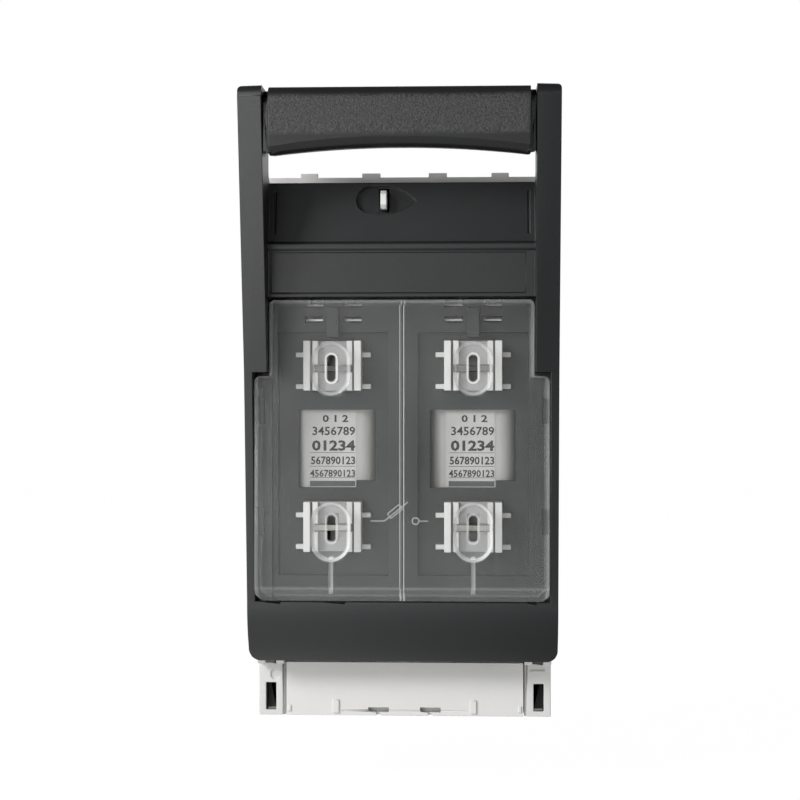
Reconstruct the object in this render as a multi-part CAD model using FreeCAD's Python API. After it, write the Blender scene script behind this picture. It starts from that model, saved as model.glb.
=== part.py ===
"""Two-pole fuse switch disconnector: a moulded base with contact jaws, and a hinged lid that
carries two knife-blade fuse-links behind a clear window.

Millimetres. X runs to the right, Z up and Y into the depth: the back plane is Y = 0, the front
has negative Y, and the origin is the centre of the four mounting holes in the back plane.
"""

import os

import FreeCAD
import Part

V = FreeCAD.Vector

# clearances
GAP = 0.3
PIN_PLAY = 0.05
PRESS_PLAY = 0.02
SCREW_PLAY = 0.15

# fuse-links
FUSE_Y = -42.5
FUSE_Z = -10.0
BODY_HALF_W = 17.5
BODY_HALF_D = 23.0
BODY_HALF_H = 31.0
BODY_R = 7.0
PLATE_T = 2.5
BLADE_T = 6.0
BLADE_W = 20.0
FUSE_HALF_L = 67.5
BLADE_TIP = FUSE_Z + FUSE_HALF_L
LUG_FRONT = -75.5
LUG_HEAD_T = 2.3
LUG_HALF = 7.8
NECK_HALF = 5.5
BODY_FRONT = FUSE_Y - BODY_HALF_D
LUG_Z = BODY_HALF_H + PLATE_T / 2

# base
BASE_HALF_W = 60.5
BASE_LOW = 2 * FUSE_Z - BLADE_TIP - 44.0
BASE_TOP = BLADE_TIP + 44.5
BACK_T = 4.0
BACK_TOP = BASE_TOP - 4.0
WALL_T = 3.0
WALL_FRONT = -62.0
POST_FRONT = -57.0
POST_IN = BASE_HALF_W - 11.0
POST_WALL = 3.3
LATCH_DEPTH = 8.0
POST_TOP = BASE_LOW + 22.5
MIDDLE_HALF = 1.5
MIDDLE_FRONT = -60.0
MIDDLE_REAR = -54.0
COVER_T = 1.8
COVER_LOW = BASE_TOP - 26.0
TAB_TOP = BASE_TOP + 1.6
MOUNT_X = BASE_HALF_W - 14.5
MOUNT_Z = 80.0
MOUNT_R = 3.25

# poles, contacts and terminals
POLES = (-28.5, 28.5)
LABEL_LEFT = {POLES[0]: -13.9, POLES[1]: -11.2}
LABEL_RIGHT = 8.9
LABEL_T = 0.2
LABEL_Z = (-26.3, 5.0)
PEDESTAL_HALF = 11.5
PEDESTAL_FRONT = -24.0
PEDESTAL_T = 2.5
BAR_T = 3.0
BAR_HALF = 10.0
BAR_FRONT = PEDESTAL_FRONT - BAR_T
WEB_T = 3.0
WEB_FRONT = BAR_FRONT - WEB_T
JAW_Z = (BLADE_TIP - 24.5, BLADE_TIP - 0.5)
FOOT_Z = JAW_Z[1] + 13.0
LEAF_T = 2.0
BOLT_R = 5.0
BOLT_AF = 17.0
BOLT_HEAD = 6.4
FLANGE_R = 9.9
FLANGE_T = 2.0
BOLT_LOW = BASE_LOW + 17.5
BOLT_Z = (2 * FUSE_Z - BOLT_LOW, BOLT_LOW)
BAR_LOW = (BASE_LOW + 3.5, 2 * FUSE_Z - JAW_Z[0] + 2.0)
BAR_Z = ((2 * FUSE_Z - BAR_LOW[1], 2 * FUSE_Z - BAR_LOW[0]), BAR_LOW)
SCREW_R = 2.5
SCREW_AF = 8.0
SCREW_HEAD = 4.0
SCREW_Z = JAW_Z[1] + 7.0

# arc chutes beside the upper jaws
CHUTE_X = (13.3, 15.3)
CHUTE_Z = (JAW_Z[0] - 1.5, JAW_Z[1] + 2.0)
CHUTE_FRONT = -61.0
ARC_Z = tuple(JAW_Z[0] + rise for rise in (3.2, 9.3, 15.4, 21.5))
ARC_T = 1.0
ARC_FRONT = -65.4

# lid
ARM_OUT = BASE_HALF_W + 2.1
ARM_IN = ARM_OUT - 9.4
ARM_REAR = -62.5
ARM_FRONT_TOP = -110.0
LID_TOP = 131.5
SHELL_TOP = 96.6
GRIP_REAR = ARM_FRONT_TOP + 24.0
GRIP_HALF = ARM_IN - 2.4
GRIP_LOW = LID_TOP - 27.3
GRIP_RISE = 3.6
GRIP_WALL = 2.6
COLLAR_STEP = 1.3
STEP_Z = 20.6
STEP_FRONT = -90.0
LID_BOTTOM = POST_TOP + 2.0
BAND_TOP = LID_BOTTOM + 25.3
BAND_FRONT = -80.5
BAND_REAR = -66.0
STRIP_IN = ARM_OUT - 3.4
LEDGE_FRONT = -72.0
MID_FRONT = -88.0
MID_Z = (50.5, 72.4)
PANEL_T = 2.5
SLOPE_LOW = (MID_FRONT + 1.0, MID_Z[1])
SLOPE_HIGH = (MID_FRONT + 5.5, SHELL_TOP)
HINGE_Y = -60.0
HINGE_Z = LID_BOTTOM + 2.0
HINGE_R = 2.0
EAR_X = (ARM_IN, ARM_IN + 3.6)
EAR_R = 4.3
DISH_X = -6.5
SEAL_X = -7.2
SEAL_Z = 89.5
SEAL_HALF = 3.7
SEAL_FRONT = MID_FRONT + 1.5

# inner panel, lug holders and window
FLOOR_FRONT = -68.0
FLOOR_T = 2.0
RIM_FRONT = -70.5
PANEL_Z = (BAND_TOP + GAP, MID_Z[0] + 5.5)
POCKET_Z = (BAND_TOP + 9.7, 37.0)
OPENING_LEFT = {POLES[0]: -14.3, POLES[1]: -17.6}
OPENING_RIGHT = 17.3
CHEEK_X = (8.9, 11.7)
RAIL_X = (5.8, 8.1)
HOLDER_FRONT = LUG_FRONT - 1.5
WINDOW_FRONT = -86.0
WINDOW_T = 1.8
WINDOW_REAR = LEDGE_FRONT - GAP
WINDOW_TOP = 49.5
SHOULDER_Z = 19.0
WINDOW_BOTTOM = BAND_TOP + 0.4
BEVEL = 5.3
CUP_Z = ((22.1, 21.0), (-43.4, 23.0))


def block(x, y, z):
    """A box between pairs of limits."""
    low = V(min(x), min(y), min(z))
    high = V(max(x), max(y), max(z))
    size = high - low
    return Part.makeBox(size.x, size.y, size.z, low)


def rod(axis, centre, radius, start, end):
    """A cylinder along an axis; centre holds the other two coordinates in their order."""
    at = {"x": lambda s: V(s, *centre), "y": lambda s: V(centre[0], s, centre[1]),
          "z": lambda s: V(*centre, s)}[axis]
    return Part.makeCylinder(radius, abs(end - start), at(start), at(end) - at(start))


def outline(points, place):
    """A closed wire; a pair of points is an arc through the first to the second."""
    edges = []
    last = points[0]
    for item in points[1:] + points[:1]:
        mid, end = item if isinstance(item[0], tuple) else (None, item)
        if end == last:
            continue
        if mid:
            edges.append(Part.Arc(place(*last), place(*mid), place(*end)).toShape())
        else:
            edges.append(Part.makeLine(place(*last), place(*end)))
        last = end
    return Part.Wire(edges)


def prism(axis, points, start, end):
    """An outline in the plane across an axis, extruded along it."""
    place = {"x": lambda y, z: V(start, y, z), "y": lambda x, z: V(x, start, z),
             "z": lambda x, y: V(x, y, start)}[axis]
    way = {"x": V(1, 0, 0), "y": V(0, 1, 0), "z": V(0, 0, 1)}[axis]
    return Part.Face(outline(points, place)).extrude(way * (end - start))


def rounded(cx, cy, half_x, half_y, r):
    """Outline points of a rounded rectangle."""
    k = r * (1 - 0.5 ** 0.5)
    x0, x1, y0, y1 = cx - half_x, cx + half_x, cy - half_y, cy + half_y
    return [
        (x0, y0 + r),
        ((x0 + k, y0 + k), (x0 + r, y0)),
        (x1 - r, y0),
        ((x1 - k, y0 + k), (x1, y0 + r)),
        (x1, y1 - r),
        ((x1 - k, y1 - k), (x1 - r, y1)),
        (x0 + r, y1),
        ((x0 + k, y1 - k), (x0, y1 - r)),
    ]


def clipped(cx, cy, half_x, half_y, corner):
    """Outline points of a rectangle with its corners cut off."""
    x0, x1, y0, y1 = cx - half_x, cx + half_x, cy - half_y, cy + half_y
    return [(x0, y0 + corner), (x0 + corner, y0), (x1 - corner, y0), (x1, y0 + corner),
            (x1, y1 - corner), (x1 - corner, y1), (x0 + corner, y1), (x0, y1 - corner)]


def stadium(cx, cz, width, height):
    """Outline points of an upright slot with round ends."""
    r = width / 2
    low, high = cz - height / 2, cz + height / 2
    return [
        (cx - r, low + r),
        (cx - r, high - r),
        ((cx, high), (cx + r, high - r)),
        (cx + r, low + r),
        ((cx, low), (cx - r, low + r)),
    ]


def hexagon(cx, cz, across):
    """Outline points of a hexagon with two flats across X."""
    r = across / 3 ** 0.5
    half = across / 2
    return [(cx, cz + r), (cx + half, cz + r / 2), (cx + half, cz - r / 2),
            (cx, cz - r), (cx - half, cz - r / 2), (cx - half, cz + r / 2)]


def octagon(cx, cy, r):
    """Outline points of an octagon drawn round a circle."""
    return clipped(cx, cy, r, r, r * (2 - 2 ** 0.5))


def mirrored(shape):
    """The shape on the other side of the middle plane."""
    return shape.mirror(V(0, 0, 0), V(1, 0, 0))


def both(shape):
    """The shape and its mirror image."""
    return [shape, mirrored(shape)]


def end_for_end(shape):
    """The shape turned over about the middle of the fuse-link."""
    return shape.mirror(V(0, 0, FUSE_Z), V(0, 0, 1))


def joined(shapes):
    """One body from touching shapes, without seams."""
    return shapes[0].fuse(shapes[1:]).removeSplitter()


def cut(shape, tools):
    """The shape less every tool."""
    return shape.cut(Part.makeCompound(tools))


# base


def side_wall():
    """The right side wall with its vents."""
    x0, x1 = BASE_HALF_W - WALL_T, BASE_HALF_W
    wall = prism("x", [
        (0, BASE_LOW), (0, BASE_TOP), (WALL_FRONT + 12, BASE_TOP), (WALL_FRONT, BASE_TOP - 10),
        (WALL_FRONT, POST_TOP + 15), (POST_FRONT, POST_TOP + 9), (POST_FRONT, BASE_LOW),
    ], x0, x1)
    vents = [block((x0 - 1, x1 + 1), (WALL_FRONT + 12, -20), (z, z + 2.4))
             for z in (30, 36, 42, 48, 54)]
    return cut(wall, vents)


def bottom_post():
    """The right lower post: inner wall, front wall, web behind the latch and two hinge cheeks."""
    inner = block((POST_IN, POST_IN + POST_WALL), (POST_FRONT, -BACK_T), (BASE_LOW, HINGE_Z + 4.5))
    front = block((POST_IN, BASE_HALF_W), (POST_FRONT, POST_FRONT + 2), (BASE_LOW, POST_TOP))
    roof = block((POST_IN, BASE_HALF_W), (POST_FRONT, -BACK_T), (POST_TOP - 2, POST_TOP))
    web = block((POST_IN, BASE_HALF_W), (POST_FRONT + LATCH_DEPTH, POST_FRONT + LATCH_DEPTH + 2),
                (BASE_LOW, POST_TOP))
    r = EAR_R + 0.2
    k = r * 0.45
    side = [(HINGE_Y + 10, HINGE_Z + r), (HINGE_Y - k, HINGE_Z + r), (HINGE_Y - r, HINGE_Z + k),
            (HINGE_Y - r, HINGE_Z - k), (HINGE_Y - k, HINGE_Z - r), (HINGE_Y + 10, HINGE_Z - r)]
    cheeks = [prism("x", side, x0, x0 + POST_WALL) for x0 in (POST_IN, BASE_HALF_W - POST_WALL)]
    return [inner, front, roof, web] + cheeks


def post_cuts():
    """What the right lower post lets through: latch slot, rebate, the lid's ear and the pin."""
    slot = block((POST_IN + 3.9, POST_IN + 8.1), (POST_FRONT - 1, POST_FRONT + 3),
                 (BASE_LOW + 2.2, POST_TOP - 9.0))
    rebate = block((POST_IN - 1, POST_IN + 1), (POST_FRONT - 1, POST_FRONT + 1.4),
                   (BASE_LOW - 1, POST_TOP - 0.4))
    r = EAR_R + 0.6
    ear = block((POST_IN + POST_WALL, BASE_HALF_W - POST_WALL), (HINGE_Y - r, HINGE_Y + r),
                (HINGE_Z - r, HINGE_Z + r))
    pin = prism("x", octagon(HINGE_Y, HINGE_Z, HINGE_R + PRESS_PLAY), POST_IN - 1, BASE_HALF_W + 1)
    return [slot, rebate, ear, pin]


def pedestal(pole, low, high):
    """The block under one terminal bar."""
    return block((pole - PEDESTAL_HALF, pole + PEDESTAL_HALF), (PEDESTAL_FRONT, 0), (low, high))


def pedestal_hollow(pole, low, high):
    """The space inside a pedestal, open at the back of the base."""
    half = PEDESTAL_HALF - PEDESTAL_T
    return block((pole - half, pole + half), (PEDESTAL_FRONT + PEDESTAL_T, 1),
                 (low + PEDESTAL_T, high - PEDESTAL_T))


def base_housing():
    """The moulded base: back, side walls, posts, middle wall and pedestals."""
    back = block((-BASE_HALF_W, BASE_HALF_W), (-BACK_T, 0), (BASE_LOW, BACK_TOP))
    middle = prism("x", [
        (0, BASE_LOW), (0, BACK_TOP - 4), (MIDDLE_REAR, BACK_TOP - 4), (MIDDLE_REAR, COVER_LOW),
        (MIDDLE_FRONT, COVER_LOW - 4), (MIDDLE_FRONT, POST_TOP + 6), (MIDDLE_REAR, POST_TOP),
        (MIDDLE_REAR, BASE_LOW)], -MIDDLE_HALF, MIDDLE_HALF)
    ribs = [block((-BASE_HALF_W, BASE_HALF_W), (-10, 0), (z, z + 2)) for z in (-48, -11, 26)]
    posts = [shape for piece in [side_wall()] + bottom_post() for shape in both(piece)]
    pillars = [pedestal(pole, *z) for pole in POLES for z in BAR_Z]
    body = joined([back, middle] + ribs + posts + pillars)
    holes = [rod("y", (sx * MOUNT_X, sz * MOUNT_Z), MOUNT_R, -BACK_T - 1, 1)
             for sx in (-1, 1) for sz in (-1, 1)]
    hollows = [pedestal_hollow(pole, *z) for pole in POLES for z in BAR_Z]
    seats = [block((x - half, x + half), (PEDESTAL_FRONT - 1, PEDESTAL_FRONT + 3.8), (z - half, z + half))
             for places, half in ((bolt_places(), BOLT_R + 0.5), (screw_places(), SCREW_R + 0.4))
             for x, z in places]
    tools = holes + hollows + seats
    tools += [shape for piece in post_cuts() for shape in both(piece)]
    tools += [prism("y", octagon(-POST_IN - 4.3, POST_TOP - 5.6, 2.0), POST_FRONT - 1, POST_FRONT + 0.8)]
    mark = block((POST_IN + 2.5, POST_IN + 8.5), (POST_FRONT - 0.4, POST_FRONT),
                 (POST_TOP - 3.8, POST_TOP - 3.2))
    return joined([cut(body, tools), mark])


def bottom_terminal_cover():
    """The cover between the lower posts, which is drawn off downwards."""
    half = POST_IN - GAP
    low = BASE_LOW
    z = (low, POST_TOP - 0.4)
    rear = POST_FRONT + COVER_T
    front = block((-half, half), (POST_FRONT, rear), z)
    flanges = both(block((half - COVER_T, half), (rear, rear + 21), z))
    ribs = both(block((27.2, 29.8), (POST_FRONT - 0.8, POST_FRONT), (low + 1.1, low + 6.5)))
    bumps = both(block((half - 2, half - 0.8), (POST_FRONT - 0.6, POST_FRONT), (low + 1.7, low + 4.3)))
    ledges = both(block((5, 16.5), (rear, rear + 7), (low, low + 1.2)))
    body = joined([front] + flanges + ribs + bumps + ledges)
    depth = (POST_FRONT - 3, rear + 1)
    line = block((-half, half), (POST_FRONT - 0.1, POST_FRONT + 0.4), (low + 1.8, low + 2.3))
    line = cut(line, both(block((26, half + 1), depth, (low - 1, low + 10))))
    slots = both(block((6.5, 15), depth, (low + 1.4, low + 3.4)))
    stems = both(block((9.8, 11.7), depth, (low - 0.5, low + 1.5)))
    return cut(body, [line] + slots + stems)


def top_terminal_cover():
    """The cover above the upper terminals, which is drawn off upwards past the seal tab."""
    half = BASE_HALF_W - WALL_T - GAP
    z = (COVER_LOW, BASE_TOP - 0.1)
    rear = POST_FRONT + COVER_T
    front = block((-half, half), (POST_FRONT, rear), z)
    flanges = both(block((half - COVER_T, half), (rear, rear + 17), z))
    lip = cut(block((-half, half), (rear, rear + 5), (z[1] - COVER_T, z[1])),
              [block((-2, 2), (rear + 0.5, rear + 6), (z[1] - 3, z[1] + 1))])
    tabs = [tab for x in ((36, 43.2), (10, 17.6))
            for tab in both(block(x, (POST_FRONT, rear), (z[1], TAB_TOP)))]
    body = joined([front, lip] + flanges + tabs)
    slot = block((SEAL_X - 2, SEAL_X + 2), (POST_FRONT - 3, rear + 1), (z[0] - 5, SEAL_Z + SEAL_HALF + 2))
    return cut(body, [slot])


def seal_tab():
    """The pierced tab that comes through the lid so that a seal can hold it shut."""
    low, high = SEAL_Z - SEAL_HALF, SEAL_Z + SEAL_HALF
    tab = prism("x", [(-48, low), (SEAL_FRONT + 2, low), (SEAL_FRONT, low + 1.6),
                      (SEAL_FRONT, high - 1.6), (SEAL_FRONT + 2, high), (-48, high)],
                SEAL_X - 1.2, SEAL_X + 1.2)
    foot = block((SEAL_X - 1.2, -MIDDLE_HALF), (-48, -45), (low, high))
    eye = rod("x", (SEAL_FRONT + 2.9, SEAL_Z), 1.2, SEAL_X - 2, SEAL_X + 2)
    return cut(joined([tab, foot]), [eye])


def hinge_pins():
    """The two pins on which the lid turns."""
    pin = rod("x", (HINGE_Y, HINGE_Z), HINGE_R, POST_IN + 0.2, BASE_HALF_W - 0.2)
    return Part.makeCompound(both(pin))


# contacts and terminals


def screw_places():
    """Centres of the contact screws as (x, z)."""
    return [(pole, z) for pole in POLES for z in (SCREW_Z, 2 * FUSE_Z - SCREW_Z)]


def leaf():
    """The right leaf of a jaw, slit into two fingers and flared at its mouth."""
    x0, x1 = BLADE_T / 2 + GAP, BLADE_T / 2 + GAP + LEAF_T
    sheet = prism("z", [(x0, BAR_FRONT), (x1, BAR_FRONT), (x1, -54.6), (x1 + 1.6, -58.2),
                        (x1, -59.2), (x0, -55)], *JAW_Z)
    mid = sum(JAW_Z) / 2
    slit = block((0, 12), (-60, -37), (mid - 0.8, mid + 0.8))
    return cut(sheet, [slit])


def jaw(pole, upper):
    """A contact jaw: a web with two sprung leaves and a foot for its screws."""
    half = BLADE_T / 2 + GAP + LEAF_T
    web = block((-half, half), (BAR_FRONT, WEB_FRONT), JAW_Z)
    foot = block((-BAR_HALF + 0.5, BAR_HALF - 0.5), (BAR_FRONT, WEB_FRONT), (JAW_Z[1], FOOT_Z))
    body = joined([web, foot] + both(leaf()))
    body = cut(body, [prism("y", octagon(0, SCREW_Z, SCREW_R + SCREW_PLAY), -40, -20)])
    body.translate(V(pole, 0, 0))
    return body if upper else end_for_end(body)


def jaw_springs(pole, upper):
    """The bowed steel strips that press a jaw's four fingers inwards."""
    x = BLADE_T / 2 + GAP + LEAF_T
    strips = []
    for z in (JAW_Z[0] + 3, JAW_Z[0] + 14):
        strip = prism("z", [(x, -34), (x, -36), (x + 1.2, -40), (x + 1.2, -47), (x, -51),
                            (x, -53), (x + 2.1, -47.4), (x + 2.1, -39.6)], z, z + 7)
        strips += both(strip)
    body = Part.makeCompound(strips)
    body.translate(V(pole, 0, 0))
    return body if upper else end_for_end(body)


def terminal_bar(pole, index):
    """A copper bar from the jaw to the terminal bolt."""
    low, high = BAR_Z[index]
    outer = high if index == 0 else low
    inner = low if index == 0 else high
    way = 1 if index == 0 else -1
    bar = prism("y", [
        (pole - BAR_HALF, inner), (pole - BAR_HALF, outer - 3 * way),
        (pole - BAR_HALF + 3, outer), (pole + BAR_HALF - 3, outer),
        (pole + BAR_HALF, outer - 3 * way), (pole + BAR_HALF, inner),
    ], PEDESTAL_FRONT, BAR_FRONT)
    holes = [prism("y", octagon(pole, BOLT_Z[index], BOLT_R + GAP), -30, -20)]
    holes += [prism("y", octagon(x, z, SCREW_R + SCREW_PLAY), -30, -20) for x, z in screw_places()]
    return cut(bar, holes)


def contact_screws():
    """The four hexagon screws that hold the jaws to their bars."""
    return Part.makeCompound([
        joined([prism("y", hexagon(x, z, SCREW_AF), WEB_FRONT, WEB_FRONT - SCREW_HEAD),
                rod("y", (x, z), SCREW_R, WEB_FRONT, PEDESTAL_FRONT + 2)])
        for x, z in screw_places()])


def bolt_places():
    """Centres of the terminal bolts as (x, z)."""
    return [(pole, z) for pole in POLES for z in BOLT_Z]


def terminal_bolts():
    """The four hexagon bolts for the cable lugs, each with its flange."""
    seat = BAR_FRONT - FLANGE_T
    return Part.makeCompound([
        joined([rod("y", (x, z), FLANGE_R, BAR_FRONT, seat),
                prism("y", hexagon(x, z, BOLT_AF), seat, seat - BOLT_HEAD),
                rod("y", (x, z), BOLT_R, BAR_FRONT, PEDESTAL_FRONT + 3.5)])
        for x, z in bolt_places()])


def arc_chute(pole):
    """The frame beside an upper jaw that holds the arc plates in grooves."""
    x0, x1 = CHUTE_X
    z0, z1 = CHUTE_Z
    front, rear = CHUTE_FRONT, WEB_FRONT - 3.4
    cheek = prism("x", [(rear, z0), (front + 3, z0), (front, z0 + 3), (front, z1 - 3), (front + 3, z1),
                        (rear, z1)], x0, x1)
    leg = block((PEDESTAL_HALF + GAP, x1), (rear, -BACK_T), (z0 + 5, z1 - 5))
    grooves = [block((x0 - 1, x0 + 0.4), (front - 1, rear - 0.5), (z - 0.6, z + 0.6)) for z in ARC_Z]
    side = cut(joined([cheek, leg]), grooves)
    bridge = block((-x1, x1), (rear, rear - 1.8), (JAW_Z[1] + 0.4, z1))
    body = joined([bridge] + both(side))
    body.translate(V(pole, 0, 0))
    return body


def arc_plates(pole):
    """The stack of steel plates on either side of an upper jaw, with tips behind the lid's slits."""
    plates = []
    rear, out = WEB_FRONT - 5.6, CHUTE_X[0] + 0.3
    for z in ARC_Z:
        plate = prism("z", [(7.9, rear), (out, rear), (out, ARC_FRONT), (4.4, ARC_FRONT),
                            (4.4, ARC_FRONT + 2.9), (8.6, ARC_FRONT + 5.6), (7.9, ARC_FRONT + 13)],
                      z - ARC_T / 2, z + ARC_T / 2)
        plates += both(plate)
    body = Part.makeCompound(plates)
    body.translate(V(pole, 0, 0))
    return body


# fuse-links


def fuse_body(pole):
    """The ceramic body with its rounded corners."""
    return prism("z", rounded(pole, FUSE_Y, BODY_HALF_W, BODY_HALF_D, BODY_R),
                 FUSE_Z - BODY_HALF_H, FUSE_Z + BODY_HALF_H)


def end_plate(pole, upper):
    """An end plate with its gripping lug."""
    z0 = FUSE_Z + BODY_HALF_H
    plate = prism("z", clipped(pole, FUSE_Y, BODY_HALF_W - 1, BODY_HALF_D - 1, 4),
                  z0, z0 + PLATE_T)
    neck = block((pole - NECK_HALF, pole + NECK_HALF), (BODY_FRONT + 5, LUG_FRONT), (z0, z0 + PLATE_T))
    head = block((pole - LUG_HALF, pole + LUG_HALF), (LUG_FRONT + LUG_HEAD_T, LUG_FRONT),
                 (z0, z0 + PLATE_T))
    body = joined([plate, neck, head])
    return body if upper else end_for_end(body)


def fuse_blades(pole):
    """The two knife blades of a fuse-link."""
    low = FUSE_Z + BODY_HALF_H + PLATE_T
    tip = FUSE_Z + FUSE_HALF_L
    y0, y1 = FUSE_Y - BLADE_W / 2, FUSE_Y + BLADE_W / 2
    blade = prism("x", [(y1, low), (y1, tip - 4), (y1 - 4, tip), (y0 + 4, tip), (y0, tip - 4),
                        (y0, low)], pole - BLADE_T / 2, pole + BLADE_T / 2)
    return Part.makeCompound([blade, end_for_end(blade)])


def fuse_label(pole):
    """The bare paper label, which follows the body's front and its left corner."""
    t = LABEL_T
    wrap = prism("z", rounded(pole, FUSE_Y, BODY_HALF_W + t, BODY_HALF_D + t, BODY_R + t), *LABEL_Z)
    front = block((pole + LABEL_LEFT[pole], pole + LABEL_RIGHT), (BODY_FRONT - 1, BODY_FRONT + BODY_R),
                  LABEL_Z)
    return cut(wrap.common(front), [fuse_body(pole)])


# lid


def band_curve():
    """The band's front in side view, from its lower edge's front end up to the window."""
    return ((BAND_FRONT + 3.1, LID_BOTTOM + 10), (BAND_FRONT + 10.3, LID_BOTTOM))


def arm_profile():
    """The lid's side view, from its rear lower corner round the back and front."""
    rear, top, front = GRIP_REAR, LID_TOP, ARM_FRONT_TOP
    return [
        (BAND_REAR, LID_BOTTOM), (BAND_REAR, LID_BOTTOM + 9), (ARM_REAR, LID_BOTTOM + 13),
        (ARM_REAR, SHELL_TOP - 3), (ARM_REAR - 3, SHELL_TOP), (rear + 5, SHELL_TOP),
        ((rear + 1.5, SHELL_TOP + 1.5), (rear, SHELL_TOP + 5)), (rear, top - 4),
        ((rear - 1.2, top - 1.2), (rear - 4, top)), (front + 5, top),
        ((front + 1.2, top - 1.3), (front, top - 5.5)),
        (STEP_FRONT, STEP_Z), (BAND_FRONT, BAND_TOP), band_curve(),
    ]


def tenon_hole(grow):
    """Limits in Y and Z of the grip's right tenon, or of its socket."""
    y, z = ARM_FRONT_TOP + 12, LID_TOP - 14.5
    return (y - 4 - grow, y + 4 + grow), (z - 4 - grow, z + 4 + grow)


def arm():
    """The right arm, hollowed from behind in cells."""
    x0, x1 = ARM_IN, ARM_OUT
    body = prism("x", arm_profile(), x0, x1)
    ledge = block((x0 - 1, STRIP_IN), (ARM_FRONT_TOP + 5, LEDGE_FRONT), (BAND_TOP, STEP_Z))
    cells = [block((x0 + 2.4, x1 - 2.6), (rear + 1, y), z)
             for rear, y, z in ((ARM_REAR, LEDGE_FRONT + 2.5, (BAND_TOP + 5.7, -25)),
                                (ARM_REAR, LEDGE_FRONT + 2.5, (-23, 18)),
                                (ARM_REAR, STEP_FRONT + 4, (24, 60)),
                                (ARM_REAR, STEP_FRONT + 1, (62, SHELL_TOP - 3)),
                                (GRIP_REAR, GRIP_REAR - 6.5, (SHELL_TOP + 6, LID_TOP - 5)))]
    keys = [block((STRIP_IN - 2.6, STRIP_IN), (LEDGE_FRONT - 1, LEDGE_FRONT + 6), (z, z + 10.6))
            for z in (-45.3, -0.3)]
    socket = block((x0 - 1, x0 + 3.2), *tenon_hole(0.1))
    return cut(body, [ledge, socket] + cells + keys)


def slope_slab(x, near, far, grow=0.0):
    """A slab along the sloping panel between two depths behind its front face."""
    (y0, z0), (y1, z1) = SLOPE_LOW, SLOPE_HIGH
    length = ((y1 - y0) ** 2 + (z1 - z0) ** 2) ** 0.5
    ty, tz = (y1 - y0) / length, (z1 - z0) / length
    y0, z0, y1, z1 = y0 - grow * ty, z0 - grow * tz, y1 + grow * ty, z1 + grow * tz
    return prism("x", [(y0 + near * tz, z0 - near * ty), (y1 + near * tz, z1 - near * ty),
                       (y1 + far * tz, z1 - far * ty), (y0 + far * tz, z0 - far * ty)], *x)


def almond(grow):
    """The seal recess seen from the front: round on the left and pointed on the right."""
    x, z = DISH_X, SEAL_Z
    return prism("y", [
        (x + 12.2 + grow, z - 0.4),
        ((x + 4, z + 4.9 + grow), (x - 4.5, z + 5.4 + grow)),
        ((x - 11.6 - grow, z), (x - 4.5, z - 5.4 - grow)),
        ((x + 4, z - 5.1 - grow), (x + 12.2 + grow, z - 0.4)),
    ], MID_FRONT + 30, MID_FRONT - 10)


def band():
    """The convex band under the window, open behind."""
    half = ARM_OUT
    low, top = LID_BOTTOM, BAND_TOP
    shell = prism("x", [
        (BAND_FRONT, top), band_curve(), (BAND_REAR, low), (BAND_REAR, low + 2.4),
        (BAND_FRONT + 11.3, low + 2.4), ((BAND_FRONT + 5.5, low + 11), (BAND_FRONT + 2.6, top - 2.4)),
        (BAND_REAR, top - 2.4), (BAND_REAR, top)], -half, half)
    ribs = [prism("x", [(BAND_REAR, top - 1), (BAND_FRONT + 2, top - 1),
                        ((BAND_FRONT + 4.9, low + 11), (BAND_FRONT + 11.1, low + 1)),
                        (BAND_REAR, low + 1)], x - 0.9, x + 0.9) for x in (POLES[0], 0, POLES[1])]
    return [shell] + ribs


def hinge_ear():
    """The ring of the right hinge and its web to the lid."""
    ring = rod("x", (HINGE_Y, HINGE_Z), EAR_R, *EAR_X)
    web = prism("x", [(HINGE_Y, HINGE_Z + EAR_R), (BAND_REAR - 1, HINGE_Z + 6.5),
                      (BAND_REAR - 1, LID_BOTTOM), (HINGE_Y, HINGE_Z - EAR_R)], *EAR_X)
    return joined([ring, web])


def middle_panel():
    """The label panel above the window: ridge, bare recess and lower flange."""
    z0, z1 = MID_Z
    front = MID_FRONT
    plate = block((-ARM_IN, ARM_IN), (front, front + PANEL_T), (z0, z1))
    ridge = prism("x", [(front, z1 - 3.6), (front - 1, z1 - 2.8), (front - 1, z1 - 0.8),
                        (front, z1)], -ARM_IN, ARM_IN)
    flange = block((-ARM_IN, ARM_IN), (front, RIM_FRONT), (z0, z0 + 2))
    recess = block((-ARM_IN + 1.2, ARM_IN - 3.9), (front - 1, front + 0.7), (z0 + 1.6, z1 - 4.2))
    return cut(joined([plate, ridge, flange]), [recess])


def top_wall():
    """The lid's top wall behind the sloping panel, with a notch that clears the seal tab."""
    wall = block((-ARM_IN, ARM_IN), (SLOPE_HIGH[0], ARM_REAR - 1), (SHELL_TOP - 2, SHELL_TOP))
    return cut(wall, [block((SEAL_X - 2, SEAL_X + 2), (SLOPE_HIGH[0] + PANEL_T, ARM_REAR),
                            (SHELL_TOP - 3, SHELL_TOP + 1))])


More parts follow.
